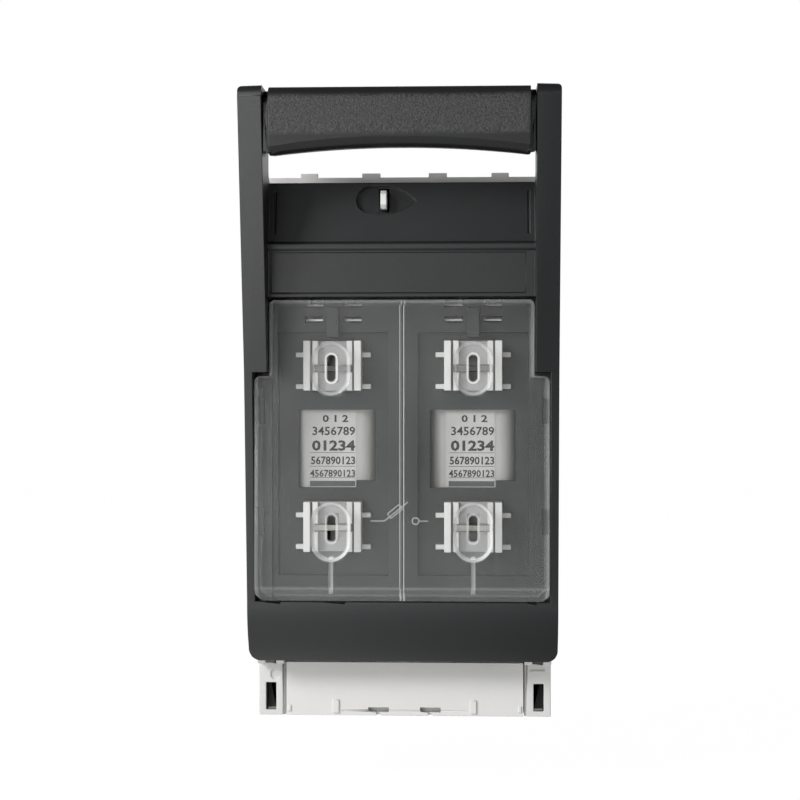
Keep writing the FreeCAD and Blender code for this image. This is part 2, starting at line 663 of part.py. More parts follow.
def lid_frame():
    """The lid moulding: arms, sloping panel, label panel, band and hinge ears."""
    panel = slope_slab((-ARM_IN, ARM_IN), 0, PANEL_T)
    boss = almond(1.6).common(slope_slab((-30, 30), PANEL_T - 0.1, PANEL_T + 2.2, -0.2))
    pieces = both(arm()) + both(hinge_ear()) + band() + [middle_panel(), panel, top_wall(), boss]
    recess = almond(0).common(slope_slab((-30, 30), -3, PANEL_T, 4))
    slot = block((SEAL_X - 1.9, SEAL_X + 2.1), (MID_FRONT - 2, MID_FRONT + 15),
                 (SEAL_Z - SEAL_HALF - 1, SEAL_Z + SEAL_HALF + 1))
    grooves = both(slope_slab((ARM_IN - 2.9, ARM_IN - 2.1), -1, 0.8, -3.5))
    low, top, out = LID_BOTTOM, LID_TOP, ARM_OUT
    corner = prism("y", [(out + 1, low - 1), (out + 1, low + 5), (out, low + 5),
                         ((out - 1.2, low + 1.6), (out - 4, low)), (out - 4, low - 1)],
                   BAND_REAR + 16, BAND_FRONT - 15)
    crown = prism("y", [(out + 1, top + 1), (out + 1, top - 2), (out, top - 2),
                        ((out - 0.6, top - 0.6), (out - 2, top)), (out - 2, top + 1)],
                  GRIP_REAR + 6, ARM_FRONT_TOP - 10)
    bores = both(rod("x", (HINGE_Y, HINGE_Z), HINGE_R + PIN_PLAY, EAR_X[0] - 1, EAR_X[1] + 1))
    notches = [block(x, (BAND_FRONT - 1.5, BAND_FRONT + 4), (BAND_TOP - 0.7, BAND_TOP + 1))
               for x in ((-55, -49), (-31, -23), (50.5, 54))]
    return cut(joined(pieces), [recess, slot] + grooves + both(corner) + both(crown) + bores + notches)


def finger_arch(half):
    """What the arch takes from the underside of the grip, with its rounded front edge."""
    front = ARM_FRONT_TOP
    radius = (half ** 2 + GRIP_RISE ** 2) / (2 * GRIP_RISE)
    centre = V(0, 0, GRIP_LOW + GRIP_RISE - radius)
    profile = [(-80, 0), (-80, radius), (front + 6, radius), (front + 3, radius + 0.8),
               (front + 0.8, radius + 3), (front - 1, radius + 8.5), (front - 1, 0)]
    face = Part.Face(outline(profile, lambda y, r: V(0, y, r) + centre))
    return face.rotate(centre, V(0, 1, 0), -15).revolve(centre, V(0, 1, 0), 30)


def grip_section(inset):
    """The grip in side view, smaller by an inset at its front, top and underside."""
    top = LID_TOP - GAP - inset
    front, rear, low = ARM_FRONT_TOP + inset, GRIP_REAR, GRIP_LOW + inset
    return [
        (rear - 4, low), (rear, low + 7), (rear, top - 4.5), ((rear - 1.3, top - 1.3),
        (rear - 4.5, top)), (front + 6, top), ((front + 1.8, top - 1.8), (front, top - 6)),
        (front, low + 13.8), (front + 1, low)]


def grip_bar():
    """The solid grip: a bar with an arched underside between two slimmer collars."""
    half = ARM_IN - GAP
    bar = cut(prism("x", grip_section(0), -GRIP_HALF, GRIP_HALF), [finger_arch(half)])
    collars = both(prism("x", grip_section(COLLAR_STEP), GRIP_HALF - 1, half))
    return joined([bar] + collars)


def handle_grip():
    """The hollow grip between the arms, with ribs inside and a tenon at each end."""
    half = ARM_IN - GAP
    front, rear = ARM_FRONT_TOP + GRIP_WALL, GRIP_REAR
    low, high = GRIP_LOW + 6.6, LID_TOP - 3.1
    ribs = [-half + GRIP_WALL, -30, -15, 0, 15, 30, half - GRIP_WALL]
    cells = [prism("x", [(rear + 1, low + 1.7), (rear - 6, low), (front + 3.4, low), (front, low + 4.2),
                         (front, high - 5.4), (front + 3.9, high - 0.6), (rear - 6, high - 0.6),
                         (rear + 1, high - 2.4)], a + 0.9, b - 0.9) for a, b in zip(ribs, ribs[1:])]
    tenons = both(block((half - 1, ARM_IN + 3), *tenon_hole(0)))
    return joined([cut(grip_bar(), cells)] + tenons)


# inner panel and window


def pocket(pole):
    """The sunk field of the inner panel in front of one fuse-link."""
    return block((pole - 22.5, pole + 22.5), (RIM_FRONT - 1, FLOOR_FRONT), POCKET_Z)


def holder_limits(upper):
    """Lower and upper ends of a lug holder."""
    return (13.3, 33.5) if upper else (-52.0, -31.8)


def panel_openings(pole):
    """The holes in front of one fuse-link: stepped field for the body, lug holders, slits."""
    depth = (RIM_FRONT - 1, FLOOR_FRONT + FLOOR_T + 1)
    left, step = pole + OPENING_LEFT[pole], LABEL_Z[0] + 3
    holes = [block((left, pole + OPENING_RIGHT), depth, (step, LABEL_Z[1] + 0.5)),
             block((left, pole + LABEL_RIGHT + 0.3), depth, (LABEL_Z[0], step))]
    for upper in (True, False):
        z0, z1 = holder_limits(upper)
        holes.append(block((pole - 12, pole + 12), depth, (z0 - GAP, z1 + GAP)))
    for z in ((ARC_Z[1] - 1.3, ARC_Z[1] + 1.3), (ARC_Z[2] - 1.0, ARC_Z[2] + 2.8)):
        holes += [block((pole + side * 4.2, pole + side * 11.6), depth, z) for side in (-1, 1)]
    return holes


def inner_panel():
    """The dark panel behind the window."""
    plate = block((-ARM_IN, ARM_IN), (RIM_FRONT, FLOOR_FRONT + FLOOR_T), PANEL_Z)
    posts = [block((pole - 2.4, pole + 2.4), (RIM_FRONT - 4.5, FLOOR_FRONT), (35, 47))
             for pole in POLES]
    tools = [pocket(pole) for pole in POLES]
    tools += [hole for pole in POLES for hole in panel_openings(pole)]
    flange = block((-ARM_IN, ARM_IN), (RIM_FRONT - 1, RIM_FRONT), (MID_Z[0], PANEL_Z[1] + 1))
    return joined([cut(cut(plate, tools), [flange])] + posts)


def lug_holder(pole, upper):
    """The white carrier that grips one lug: cheeks, rails, four stubs and a slotted plate."""
    z0, z1 = holder_limits(upper)
    lug = FUSE_Z + LUG_Z if upper else FUSE_Z - LUG_Z
    rear, behind = FLOOR_FRONT + FLOOR_T, LUG_FRONT + LUG_HEAD_T + GAP
    cheek = block(CHEEK_X, (HOLDER_FRONT, rear), (z0, z1))
    stubs = [block((CHEEK_X[1], CHEEK_X[1] + 3.6), (HOLDER_FRONT + 6, FLOOR_FRONT), (z, z + 2))
             for z in (z0 + 0.7, z1 - 6.6)]
    rail = block(RAIL_X, (HOLDER_FRONT + 1, behind + 2), (z0, z1))
    plate = block((0, CHEEK_X[0]), (behind, behind + 2), (z0, z1))
    half = joined([cheek, rail, plate] + stubs)
    depth = (HOLDER_FRONT - 1, behind + 3)
    notch = block((-1, LUG_HALF + 0.4), (HOLDER_FRONT - 1, behind), (lug - 1.6, lug + 1.6))
    neck = block((-1, NECK_HALF + 0.4), depth, (lug - 1.6, lug + 1.6))
    probe = block((-1, 2.4), depth, (lug - 5.5, lug + 5.5))
    body = joined(both(cut(half, [notch, neck, probe])))
    body.translate(V(pole, 0, 0))
    return body


def window_outline(inset, top_inset):
    """The window seen from the front, smaller by an inset."""
    wide = STRIP_IN - GAP - inset
    narrow = ARM_IN - GAP - inset
    low = WINDOW_BOTTOM + inset
    shoulder = SHOULDER_Z - top_inset
    top = WINDOW_TOP - top_inset
    r = 2.5
    return [
        (-wide + r, low), (wide - r, low), (wide, low + r), (wide, shoulder - r),
        ((wide - 0.3 * r, shoulder - 0.3 * r), (wide - r, shoulder)), (narrow, shoulder),
        (narrow, top - r), ((narrow - 0.3 * r, top - 0.3 * r), (narrow - r, top)),
        (-narrow + r, top), ((-narrow + 0.3 * r, top - 0.3 * r), (-narrow, top - r)),
        (-narrow, shoulder), (-wide + r, shoulder),
        ((-wide + 0.3 * r, shoulder - 0.3 * r), (-wide, shoulder - r)), (-wide, low + r),
    ]


def taper(mouth, floor, depth):
    """A body that runs from one outline on the window's face to another behind it."""
    wires = [outline(points, lambda x, z, y=y: V(x, y, z))
             for points, y in ((mouth, WINDOW_FRONT), (floor, WINDOW_FRONT + depth))]
    return Part.makeLoft(wires, True, True)


def cup(pole, cz, height):
    """The outside of a probe cup, which is only seen through the window."""
    return taper(clipped(pole, cz, 8.7, height / 2 + 1.2, 5), clipped(pole, cz, 7.4, height / 2 - 0.3, 4.5),
                 6.4)


def dish(pole, cz, height):
    """The inside of a probe cup."""
    return taper(stadium(pole, cz, 15, height), stadium(pole, cz, 12.4, height - 3), 4.8)


def window():
    """The clear window: a bevelled box with probe cups, ribs, tongues and the switch symbol."""
    outer = prism("y", window_outline(0, 0), WINDOW_FRONT, WINDOW_REAR)
    inner = prism("y", window_outline(WINDOW_T, WINDOW_T), WINDOW_FRONT + WINDOW_T, WINDOW_REAR + 1)
    wide = ARM_OUT
    low = WINDOW_BOTTOM
    bevel = prism("x", [(WINDOW_FRONT - 1, low - 1), (WINDOW_FRONT - 1, low + BEVEL + 1),
                        (WINDOW_FRONT, low + BEVEL), (WINDOW_FRONT + BEVEL, low),
                        (WINDOW_FRONT + BEVEL, low - 1)], -wide, wide)
    inside = prism("x", [(WINDOW_FRONT, low + BEVEL + 2.4), (WINDOW_FRONT + BEVEL + 1.6, low + 0.8),
                         (WINDOW_FRONT, low + 0.8)], -wide, wide)
    inner = inner.cut(inside)
    shell = cut(outer, [inner, bevel])
    back = WINDOW_FRONT + WINDOW_T - 0.1
    cups = []
    holes = []
    for pole in POLES:
        for (cz, height), way in zip(CUP_Z, (1, -1)):
            cups.append(cup(pole, cz, height))
            holes.append(dish(pole, cz, height))
            holes.append(prism("y", clipped(pole, FUSE_Z + way * LUG_Z, 1.6, 5.2, 1.0),
                               WINDOW_FRONT - 2, WINDOW_REAR + 2))
    rib = block((-0.6, 0.6), (back, back + 8), (low + 5, WINDOW_TOP - 1))
    tails = [block((pole - 0.8, pole + 0.8), (back, back + 4), (low + 5, CUP_Z[1][0] - 9))
             for pole in POLES]
    keys = [block((s * (STRIP_IN - GAP), s * (STRIP_IN - GAP - WINDOW_T)),
                  (WINDOW_REAR, WINDOW_REAR + 4.8), (z, z + 10)) for s in (-1, 1) for z in (-45, 0)]
    body = cut(joined([shell, rib] + cups + tails + keys), holes)
    return joined([body] + switch_symbol())


def switch_symbol():
    """The moulded circuit symbol of a fuse switch, as thin raised lines."""
    y = (WINDOW_FRONT - 0.3, WINDOW_FRONT + 0.2)

    def line(x0, z0, x1, z1):
        dx, dz = x1 - x0, z1 - z0
        k = 0.22 / (dx * dx + dz * dz) ** 0.5
        return prism("y", [(x0 - dz * k, z0 + dx * k), (x1 - dz * k, z1 + dx * k),
                           (x1 + dz * k, z1 - dx * k), (x0 + dz * k, z0 - dx * k)], *y)

    cx, cz = -1.4, -40.2
    marks = [line(cx - 11, cz - 7.8, cx - 5.4, cz - 7.8), line(cx - 5.4, cz - 7.8, cx + 4, cz - 0.2),
             line(cx - 4.2, cz - 5, cx + 0.4, cz - 1.2), line(cx + 0.4, cz - 1.2, cx + 1.8, cz - 3.0),
             line(cx + 1.8, cz - 3.0, cx - 2.8, cz - 6.8), line(cx - 2.8, cz - 6.8, cx - 4.2, cz - 5),
             line(cx + 8.4, cz - 7.8, cx + 12, cz - 7.8)]
    ring = prism("y", clipped(cx + 7, cz - 7.8, 1.5, 1.5, 0.8), *y)
    eye = prism("y", clipped(cx + 7, cz - 7.8, 1.0, 1.0, 0.5), y[0] - 1, y[1] + 1)
    return marks + [cut(ring, [eye])]


def main():
    """Build every piece and write it under its name."""
    pieces = {
        "base_housing": base_housing(),
        "bottom_terminal_cover": bottom_terminal_cover(),
        "top_terminal_cover": top_terminal_cover(),
        "seal_tab": seal_tab(),
        "hinge_pins": hinge_pins(),
        "contact_screws": contact_screws(),
        "terminal_bolts": terminal_bolts(),
        "lid_frame": lid_frame(),
        "handle_grip": handle_grip(),
        "inner_panel": inner_panel(),
        "window": window(),
    }
    for side, pole in zip(("left", "right"), POLES):
        pieces["arc_chute_" + side] = arc_chute(pole)
        pieces["arc_plates_" + side] = arc_plates(pole)
        pieces["fuse_body_" + side] = fuse_body(pole)
        pieces["fuse_blades_" + side] = fuse_blades(pole)
        pieces["fuse_label_" + side] = fuse_label(pole)
        for index, end in enumerate(("top", "bottom")):
            name = end + "_" + side
            pieces["jaw_" + name] = jaw(pole, index == 0)
            pieces["jaw_springs_" + name] = jaw_springs(pole, index == 0)
            pieces["terminal_bar_" + name] = terminal_bar(pole, index)
            pieces["end_plate_" + name] = end_plate(pole, index == 0)
            pieces["lug_holder_" + name] = lug_holder(pole, index == 0)
    os.makedirs("parts", exist_ok=True)
    for name, shape in pieces.items():
        shape.exportStep("parts/" + name + ".step")


main()
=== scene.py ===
"""Studio scene of a two-pole fuse switch disconnector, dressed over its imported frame.

Each sub-assembly is a class that models and dresses its own pieces; metres throughout.
"""

import logging
import math
from dataclasses import dataclass
from enum import Enum
from typing import Callable, Iterable, Union

import bmesh
import bpy
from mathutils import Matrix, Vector


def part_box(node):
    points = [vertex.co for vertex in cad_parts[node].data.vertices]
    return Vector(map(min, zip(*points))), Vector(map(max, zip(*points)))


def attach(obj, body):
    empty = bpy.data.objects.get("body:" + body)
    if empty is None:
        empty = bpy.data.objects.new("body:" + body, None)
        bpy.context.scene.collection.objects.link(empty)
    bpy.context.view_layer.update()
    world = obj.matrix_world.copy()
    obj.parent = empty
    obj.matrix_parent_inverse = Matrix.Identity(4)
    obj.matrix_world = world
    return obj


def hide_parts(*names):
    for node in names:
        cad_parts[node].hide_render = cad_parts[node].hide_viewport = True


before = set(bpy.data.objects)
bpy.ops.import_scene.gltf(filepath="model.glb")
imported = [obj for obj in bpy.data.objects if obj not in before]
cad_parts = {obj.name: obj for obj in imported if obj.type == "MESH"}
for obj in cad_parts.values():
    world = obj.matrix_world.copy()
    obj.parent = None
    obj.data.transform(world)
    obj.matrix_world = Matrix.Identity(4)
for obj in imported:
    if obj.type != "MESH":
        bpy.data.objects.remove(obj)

LOG = logging.getLogger("disconnector")
Pair = tuple[float, float]
Triple = tuple[float, float, float]
Colour = Triple
Value = Union["Signal", float, tuple]

# the poles' middle planes, and how their sides and the jaws are called
POLES = (-0.0285, 0.0285)
SIDES = ("left", "right")
ENDS = ("top_left", "bottom_left", "top_right", "bottom_right")
# the clear window's front face in Y
WINDOW_FRONT = -0.086
# how noise is scaled so that its lines run upwards or backwards
DRAWN_UP = (1.0, 1.0, 0.06)
DRAWN_BACK = (1.0, 0.08, 1.0)
# edges sharper and longer than this are rounded, and what turns less than SMOOTH is shaded as one
SHARP = math.radians(28)
SHORTEST_EDGE = 0.0008
SMOOTH = math.radians(35)
# points closer than MERGED are one, and points closer than NEAR to a line are on it
MERGED = 0.000002
NEAR = 0.0001


class Body(Enum):
    """The bodies that move against one another."""

    BASE = "base"
    LID = "lid"
    WINDOW = "window"
    TOP_COVER = "top_cover"
    BOTTOM_COVER = "bottom_cover"


class Element(Enum):
    """The mesh elements that a test picks, with the operators' names for them."""

    POINT = "VERT"
    EDGE = "EDGE"


# shader tools


class Signal:
    """What leaves a node's socket, so that shader maths reads as arithmetic."""

    def __init__(self, tree: bpy.types.NodeTree, socket: bpy.types.NodeSocket) -> None:
        """Keep the socket and the tree that it stands in."""
        self.tree = tree
        self.socket = socket

    def combine(self, operation: str, operands: Iterable[Value]) -> "Signal":
        """Add a Math node.

        Args:
            operation: the node's operation.
            operands: its operands in order.

        Returns:
            The node's result.
        """
        node = self.tree.nodes.new("ShaderNodeMath")
        node.operation = operation
        for socket, value in zip(node.inputs, operands):
            if isinstance(value, Signal):
                self.tree.links.new(value.socket, socket)
            else:
                socket.default_value = value
        return Signal(self.tree, node.outputs[0])

    def maths(self, operation: str, *others: Value) -> "Signal":
        """Add a Math node whose first operand is this signal."""
        return self.combine(operation, (self, *others))

    def __add__(self, other: Value) -> "Signal":
        """Sum."""
        return self.maths("ADD", other)

    def __sub__(self, other: Value) -> "Signal":
        """Difference."""
        return self.maths("SUBTRACT", other)

    def __rsub__(self, other: Value) -> "Signal":
        """Difference from a number."""
        return self.combine("SUBTRACT", (other, self))

    def __mul__(self, other: Value) -> "Signal":
        """Product."""
        return self.maths("MULTIPLY", other)

    def __truediv__(self, other: Value) -> "Signal":
        """Quotient."""
        return self.maths("DIVIDE", other)

    __radd__ = __add__
    __rmul__ = __mul__

    def above(self, edge: float, soft: float) -> "Signal":
        """A mask that rises from 0 to 1 about an edge.

        Args:
            edge: where the mask is a half.
            soft: width of the rise.

        Returns:
            The mask.
        """
        return ((self - (edge - soft / 2)) / soft).maths("MINIMUM", 1.0).maths("MAXIMUM", 0.0)

    def within(self, low: float, high: float, soft: float) -> "Signal":
        """A mask that is 1 between two limits."""
        return self.above(low, soft) * (1.0 - self.above(high, soft))


class Tree:
    """A node tree that is emptied and then filled node by node."""

    def __init__(self, tree: bpy.types.NodeTree) -> None:
        """Empty the tree."""
        self.tree = tree
        self.tree.nodes.clear()

    def node(self, kind: str, settings: dict | None = None, values: dict | None = None,
             output: str | int = 0) -> Signal | None:
        """Add a node.

        Args:
            kind: the node's type.
            settings: its properties.
            values: values or signals by socket name or number.
            output: the socket to read.

        Returns:
            The signal of that socket, or None from an end node.
        """
        node = self.tree.nodes.new(kind)
        for key, value in (settings or {}).items():
            setattr(node, key, value)
        for key, value in (values or {}).items():
            if isinstance(value, Signal):
                self.tree.links.new(value.socket, node.inputs[key])
            else:
                node.inputs[key].default_value = value
        return Signal(self.tree, node.outputs[output]) if node.outputs else None

    def rays(self) -> list[Signal]:
        """Whether a ray is the camera's, a reflected one, or one that went through plastic."""
        return [self.node("ShaderNodeLightPath", output=f"Is {ray} Ray")
                for ray in ("Camera", "Glossy", "Transmission")]


class Recipe(Tree):
    """The node tree of one material."""

    def __init__(self, name: str) -> None:
        """Start an empty tree with its position signals."""
        self.material = bpy.data.materials.new(name)
        self.material.use_nodes = True
        super().__init__(self.material.node_tree)
        self.place = self.node("ShaderNodeTexCoord", output="Object")
        self.x, self.y, self.z = (
            self.node("ShaderNodeSeparateXYZ", values={"Vector": self.place}, output=axis)
            for axis in "XYZ")

    def from_pole(self) -> Signal:
        """Distance across from the nearer pole's middle."""
        return (self.x.maths("ABSOLUTE") - POLES[1]).maths("ABSOLUTE")

    def noise(self, scale: float, detail: float = 2.0, where: Signal | None = None) -> Signal:
        """Soft noise from 0 to 1, with scale as cells a metre."""
        return self.node("ShaderNodeTexNoise", None,
                         {"Vector": where or self.place, "Scale": scale, "Detail": detail})

    def stretched(self, factors: Triple) -> Signal:
        """The position scaled along each axis."""
        return self.node("ShaderNodeVectorMath", {"operation": "MULTIPLY"},
                         {0: self.place, 1: factors})

    def blend(self, mask: Value, low: Value, high: Value) -> Signal:
        """A colour between two, by a mask."""
        dark, light = (v if isinstance(v, Signal) else (*v, 1.0) for v in (low, high))
        return self.node("ShaderNodeMix", {"data_type": "RGBA"}, {0: mask, 6: dark, 7: light}, 2)

    def relief(self, height: Signal, depth: float, strength: float = 1.0) -> Signal:
        """A bumped normal with depth in metres."""
        return self.node("ShaderNodeBump", None,
                         {"Height": height, "Distance": depth, "Strength": strength})

    def surface(self, **values: Value) -> bpy.types.Material:
        """Close the tree with a surface shader.

        Args:
            values: socket values, with underscores for spaces in their names.

        Returns:
            The material.
        """
        named = {key.replace("_", " "): value for key, value in values.items()}
        colour = named.get("Base Color")
        if isinstance(colour, tuple):
            named["Base Color"] = (*colour, 1.0)
        shader = self.node("ShaderNodeBsdfPrincipled", None, named)
        self.node("ShaderNodeOutputMaterial", None, {"Surface": shader})
        return self.material


def shade(colour: Colour, factor: float) -> Colour:
    """A colour made lighter or darker."""
    return tuple(min(1.0, channel * factor) for channel in colour)


# finishes


@dataclass(frozen=True)
class Moulding:
    """Moulded plastic with a fine eroded grain, faint flow marks and rubbed spots.

    Attributes:
        name: the material's name.
        colour: its mean colour.
        roughness: its mean roughness.
        specular: how strongly it reflects.
        grain: cells of the grain in a metre.
        depth: how deep the grain is.
        tone: how far the colour strays from its mean.
        recess: the place in Y behind which the plastic is painted darker, as painted shade.
        reach: how far from a pole's middle that painted shade goes.
        pits: a pocket's limits across, its limits upwards and its mouth in Y, for painted shade.
        recess_shade: what is left of the colour under the painted shade in a recess.
        recess_share: how much of that painted shade is laid on.
        pit_shade: what is left of the colour under the painted shade in a pit.
    """

    name: str
    colour: Colour
    roughness: float = 0.45
    specular: float = 0.4
    grain: float = 2200.0
    depth: float = 0.00004
    tone: float = 0.08
    recess: float = 1.0
    reach: float = 1.0
    pits: tuple[Pair, Pair, float] | None = None
    recess_shade: float = 0.3
    recess_share: float = 0.75
    pit_shade: float = 0.07

    def build(self) -> bpy.types.Material:
        """The material."""
        r = Recipe(self.name)
        cloud = r.noise(22.0, 3.0)
        flow = r.noise(60.0, 2.0, r.stretched((0.35, 1.0, 1.6)))
        cells = r.noise(self.grain, 2.0)
        mask = cloud * 0.55 + flow * 0.25 + cells * 0.2
        colour = r.blend(mask.above(0.5, 0.55), shade(self.colour, 1 - self.tone),
                         shade(self.colour, 1 + self.tone))
        # painted shade: near a pole's middle, the plastic behind the recess line is painted darker
        near = 1.0 - r.from_pole().above(self.reach, 0.0004)
        behind = r.y.above(self.recess, 0.0015)
        colour = r.blend(behind * near * self.recess_share, colour,
                         shade(self.colour, self.recess_shade))
        # painted shade: inside a pit the plastic is painted nearly black
        if self.pits:
            across, up, mouth = self.pits
            inside = r.x.maths("ABSOLUTE").within(*across, 0.0001) * r.z.within(*up, 0.0001)
            colour = r.blend(inside * r.y.above(mouth, 0.0006), colour,
                             shade(self.colour, self.pit_shade))
        rough = self.roughness - 0.05 + cells * 0.06 + cloud * 0.05
        return r.surface(Base_Color=colour, Roughness=rough, Specular_IOR_Level=self.specular,
                         Normal=r.relief(cells, self.depth))


@dataclass(frozen=True)
class GrippedMoulding:
    """The grip's plastic: smooth above and below, with a leather grain across its front.

    Attributes:
        name: the material's name.
        colour: the smooth plastic.
        grained_colour: the mean colour of the grained field, lighter than the smooth plastic.
        up: the grained field's limits in Z.
        half_width: half of its width.
        rear: where it ends in Y.
        depth: how deep its grain is.
    """

    name: str = "grip_leather_grain"
    colour: Colour = (0.012, 0.0125, 0.013)
    grained_colour: Colour = (0.036, 0.036, 0.037)
    up: Pair = (0.1125, 0.1275)
    half_width: float = 0.0505
    rear: float = -0.103
    depth: float = 0.00016

    def build(self) -> bpy.types.Material:
        """The material."""
        r = Recipe(self.name)
        wave = r.noise(90.0, 1.0) * 0.0012 - 0.0006
        zone = (r.z + wave).within(*self.up, 0.0015)
        zone = zone * r.x.within(-self.half_width, self.half_width, 0.002)
        zone = zone * (1.0 - r.y.above(self.rear, 0.002))
        pebbles = r.node("ShaderNodeTexVoronoi", {"feature": "SMOOTH_F1"},
                         {"Vector": r.place, "Scale": 1150.0, "Smoothness": 0.45})
        creases = r.noise(1900.0, 3.0)
        fine = r.noise(2600.0, 2.0)
        leather = (1.0 - pebbles) * 0.7 + creases * 0.5
        height = leather * zone + fine * (1.0 - zone) * 0.25
        mottle = r.noise(1300.0, 3.0).above(0.52, 0.3) * 0.7
        mottle = mottle + r.noise(480.0, 3.0).above(0.5, 0.5) * 0.3
        skin = r.blend(mottle, shade(self.grained_colour, 0.45), shade(self.grained_colour, 1.6))
        plain = r.blend(r.noise(25.0, 3.0).above(0.5, 0.6), shade(self.colour, 0.9),
                        shade(self.colour, 1.1))
        colour = r.blend(zone, plain, skin)
        rough = 0.38 + zone * 0.10 + fine * 0.06
        return r.surface(Base_Color=colour, Roughness=rough, Specular_IOR_Level=0.4,
                         Normal=r.relief(height, self.depth))


@dataclass(frozen=True)
class ClearMoulding:
    """Clear polycarbonate: a thin veil, with frosted probe cups and bright moulded edges.

    Attributes:
        name: the material's name.
        colour: the veil.
        frost_and_highlight: the colour of the frosted cups, the symbol and the painted highlights.
        veil: how much of the view it takes, seen straight on.
        slant: how much more it takes where it is seen aslant.
        front: its front face in Y.
        cups: each probe cup's middle height, its height and how bright the painted highlight on its
            rim is.
        cup_width: a cup's width.
        slots: each probe slot's middle height and how bright the painted highlight on its ring is.
        slot_size: a slot's width and height.
        rib: limits of the middle rib's sides, from the middle plane, which carry a painted
            highlight.
        post: half the width of the painted highlight on the rib below each pole.
        post_up: that rib's limits in Z.
        shoulder: the height from which the narrow part's edges carry a painted highlight.
        rims: where painted highlights start: half the narrow part's width, half the wide part's,
            the top edge.
        foot: the height of the lower edge, below which a faint painted highlight lies.
        lip: limits in Z of the painted highlight along it.
    """

    name: str = "clear_window"
    colour: Colour = (0.62, 0.63, 0.63)
    frost_and_highlight: Colour = (0.86, 0.87, 0.87)
    veil: float = 0.022
    slant: float = 0.45
    front: float = WINDOW_FRONT
    cups: tuple[Triple, ...] = ((0.0221, 0.021, 0.6), (-0.0434, 0.023, 1.0))
    cup_width: float = 0.015
    slots: tuple[Pair, ...] = ((0.02225, 1.0), (-0.04225, 0.45))
    slot_size: Pair = (0.0040, 0.0114)
    rib: Pair = (0.0004, 0.0010)
    post: float = 0.0009
    post_up: Pair = (-0.068, -0.0535)
    shoulder: float = 0.0185
    rims: Triple = (0.0514, 0.0574, 0.0482)
    foot: float = -0.0650
    lip: Pair = (-0.0664, -0.0655)

    @staticmethod
    def slotted(r: Recipe, centre: float, width: float, height: float) -> Signal:
        """Distance outside an upright slot with round ends, on either pole.

        Args:
            r: the recipe.
            centre: the slot's middle height.
            width: its width.
            height: its height.

        Returns:
            The distance, negative inside.
        """
        across = r.from_pole()
        along = ((r.z - centre).maths("ABSOLUTE") - (height - width) / 2).maths("MAXIMUM", 0.0)
        return (across * across + along * along).maths("SQRT") - width / 2

    def edge_highlights(self, r: Recipe) -> tuple[Signal, Signal, Signal]:
        """The edges that catch the light.

        Args:
            r: the recipe.

        Returns:
            Masks of the painted highlights on the ribs behind the window, on its rims and on its
            foot.
        """
        behind = r.y.above(self.front + 0.0017, 0.0002)
        across = r.x.maths("ABSOLUTE")
        rib = across.within(*self.rib, 0.0002) * behind
        post = 1.0 - r.from_pole().above(self.post, 0.0003)
        rib = rib + post * r.z.within(*self.post_up, 0.001) * behind
        narrow, wide, top = self.rims
        rim = across.above(narrow, 0.0008) * r.z.above(self.shoulder, 0.0006)
        rim = (rim + across.above(wide, 0.0008) + r.z.above(top, 0.0006)).maths("MINIMUM", 1.0)
        foot = (1.0 - r.z.above(self.foot, 0.0008)) * 0.5 + r.z.within(*self.lip, 0.0004)
        return rib, rim, foot

    def build(self) -> bpy.types.Material:
        """The material."""
        r = Recipe(self.name)
        lean = r.node("ShaderNodeLayerWeight", None, {"Blend": 0.35}, "Facing")
        haze = r.noise(35.0, 2.0)
        scuffs = r.noise(260.0, 4.0, r.stretched((1.0, 1.0, 0.12))).above(0.66, 0.06)
        frosted = 0.0
        bright = 0.0
        # painted highlights: a bright rim round each cup and a bright ring round each slot
        for (centre, height, rim), (slot, ring) in zip(self.cups, self.slots):
            cup = self.slotted(r, centre, self.cup_width, height)
            frosted = frosted + (1.0 - cup.above(-0.0006, 0.0008))
            bright = bright + cup.within(-0.0008, 0.0003, 0.0005) * rim
            hole = self.slotted(r, slot, *self.slot_size)
            bright = bright + hole.within(-0.0001, 0.0006, 0.0004) * ring
        symbol = 1.0 - r.y.above(self.front - 0.00012, 0.00004)
        rib, rim, foot = self.edge_highlights(r)
        # painted sheen: the veil is made lighter towards the top left and towards the bottom
        painted_sheen = (r.z.above(0.02, 0.07) * (1.0 - r.x.above(0.0, 0.12)) * 0.022
                 + (1.0 - r.z.above(-0.045, 0.04)) * 0.024)
        alpha = (self.veil + haze * 0.03 + painted_sheen + lean * lean * self.slant + scuffs * 0.015
                 + frosted * 0.08 + bright * 0.42 + symbol * 0.32 + rib * 0.36 + rim * 0.12
                 + foot * 0.06).maths("MINIMUM", 1.0)
        pale = (frosted * 0.6 + bright + symbol + rib + rim * 0.5).maths("MINIMUM", 1.0)
        colour = r.blend(pale, self.colour, self.frost_and_highlight)
        rough = 0.07 + scuffs * 0.12 + haze * 0.03 + frosted * 0.25
        return r.surface(Base_Color=colour, Roughness=rough, Alpha=alpha, IOR=1.58,
                         Specular_IOR_Level=0.7, Normal=r.relief(haze, 0.0002, 0.15))


@dataclass(frozen=True)
class PlatedMetal:
    """Rolled or turned metal under a thin plating, with drawn lines and dull spots.

    Attributes:
        name: the material's name.
        colour: the bright plating.
        roughness: its least roughness.
        lines: the grain's scale along each axis; the lines run along the smallest.
        tarnish: how much darker the dull spots are.
    """

    name: str
    colour: Colour
    roughness: float = 0.32
    lines: Triple = DRAWN_UP
    tarnish: float = 0.25

    def build(self) -> bpy.types.Material:
        """The material."""
        r = Recipe(self.name)
        drawn = r.noise(1800.0, 3.0, r.stretched(self.lines))
        spots = r.noise(140.0, 4.0).above(0.56, 0.25)
        colour = r.blend(spots * 0.6 + drawn * 0.4, self.colour,
                         shade(self.colour, 1 - self.tarnish))
        rough = self.roughness + drawn * 0.1 + spots * 0.12
        return r.surface(Base_Color=colour, Metallic=1.0, Roughness=rough,
                         Normal=r.relief(drawn, 0.00002))


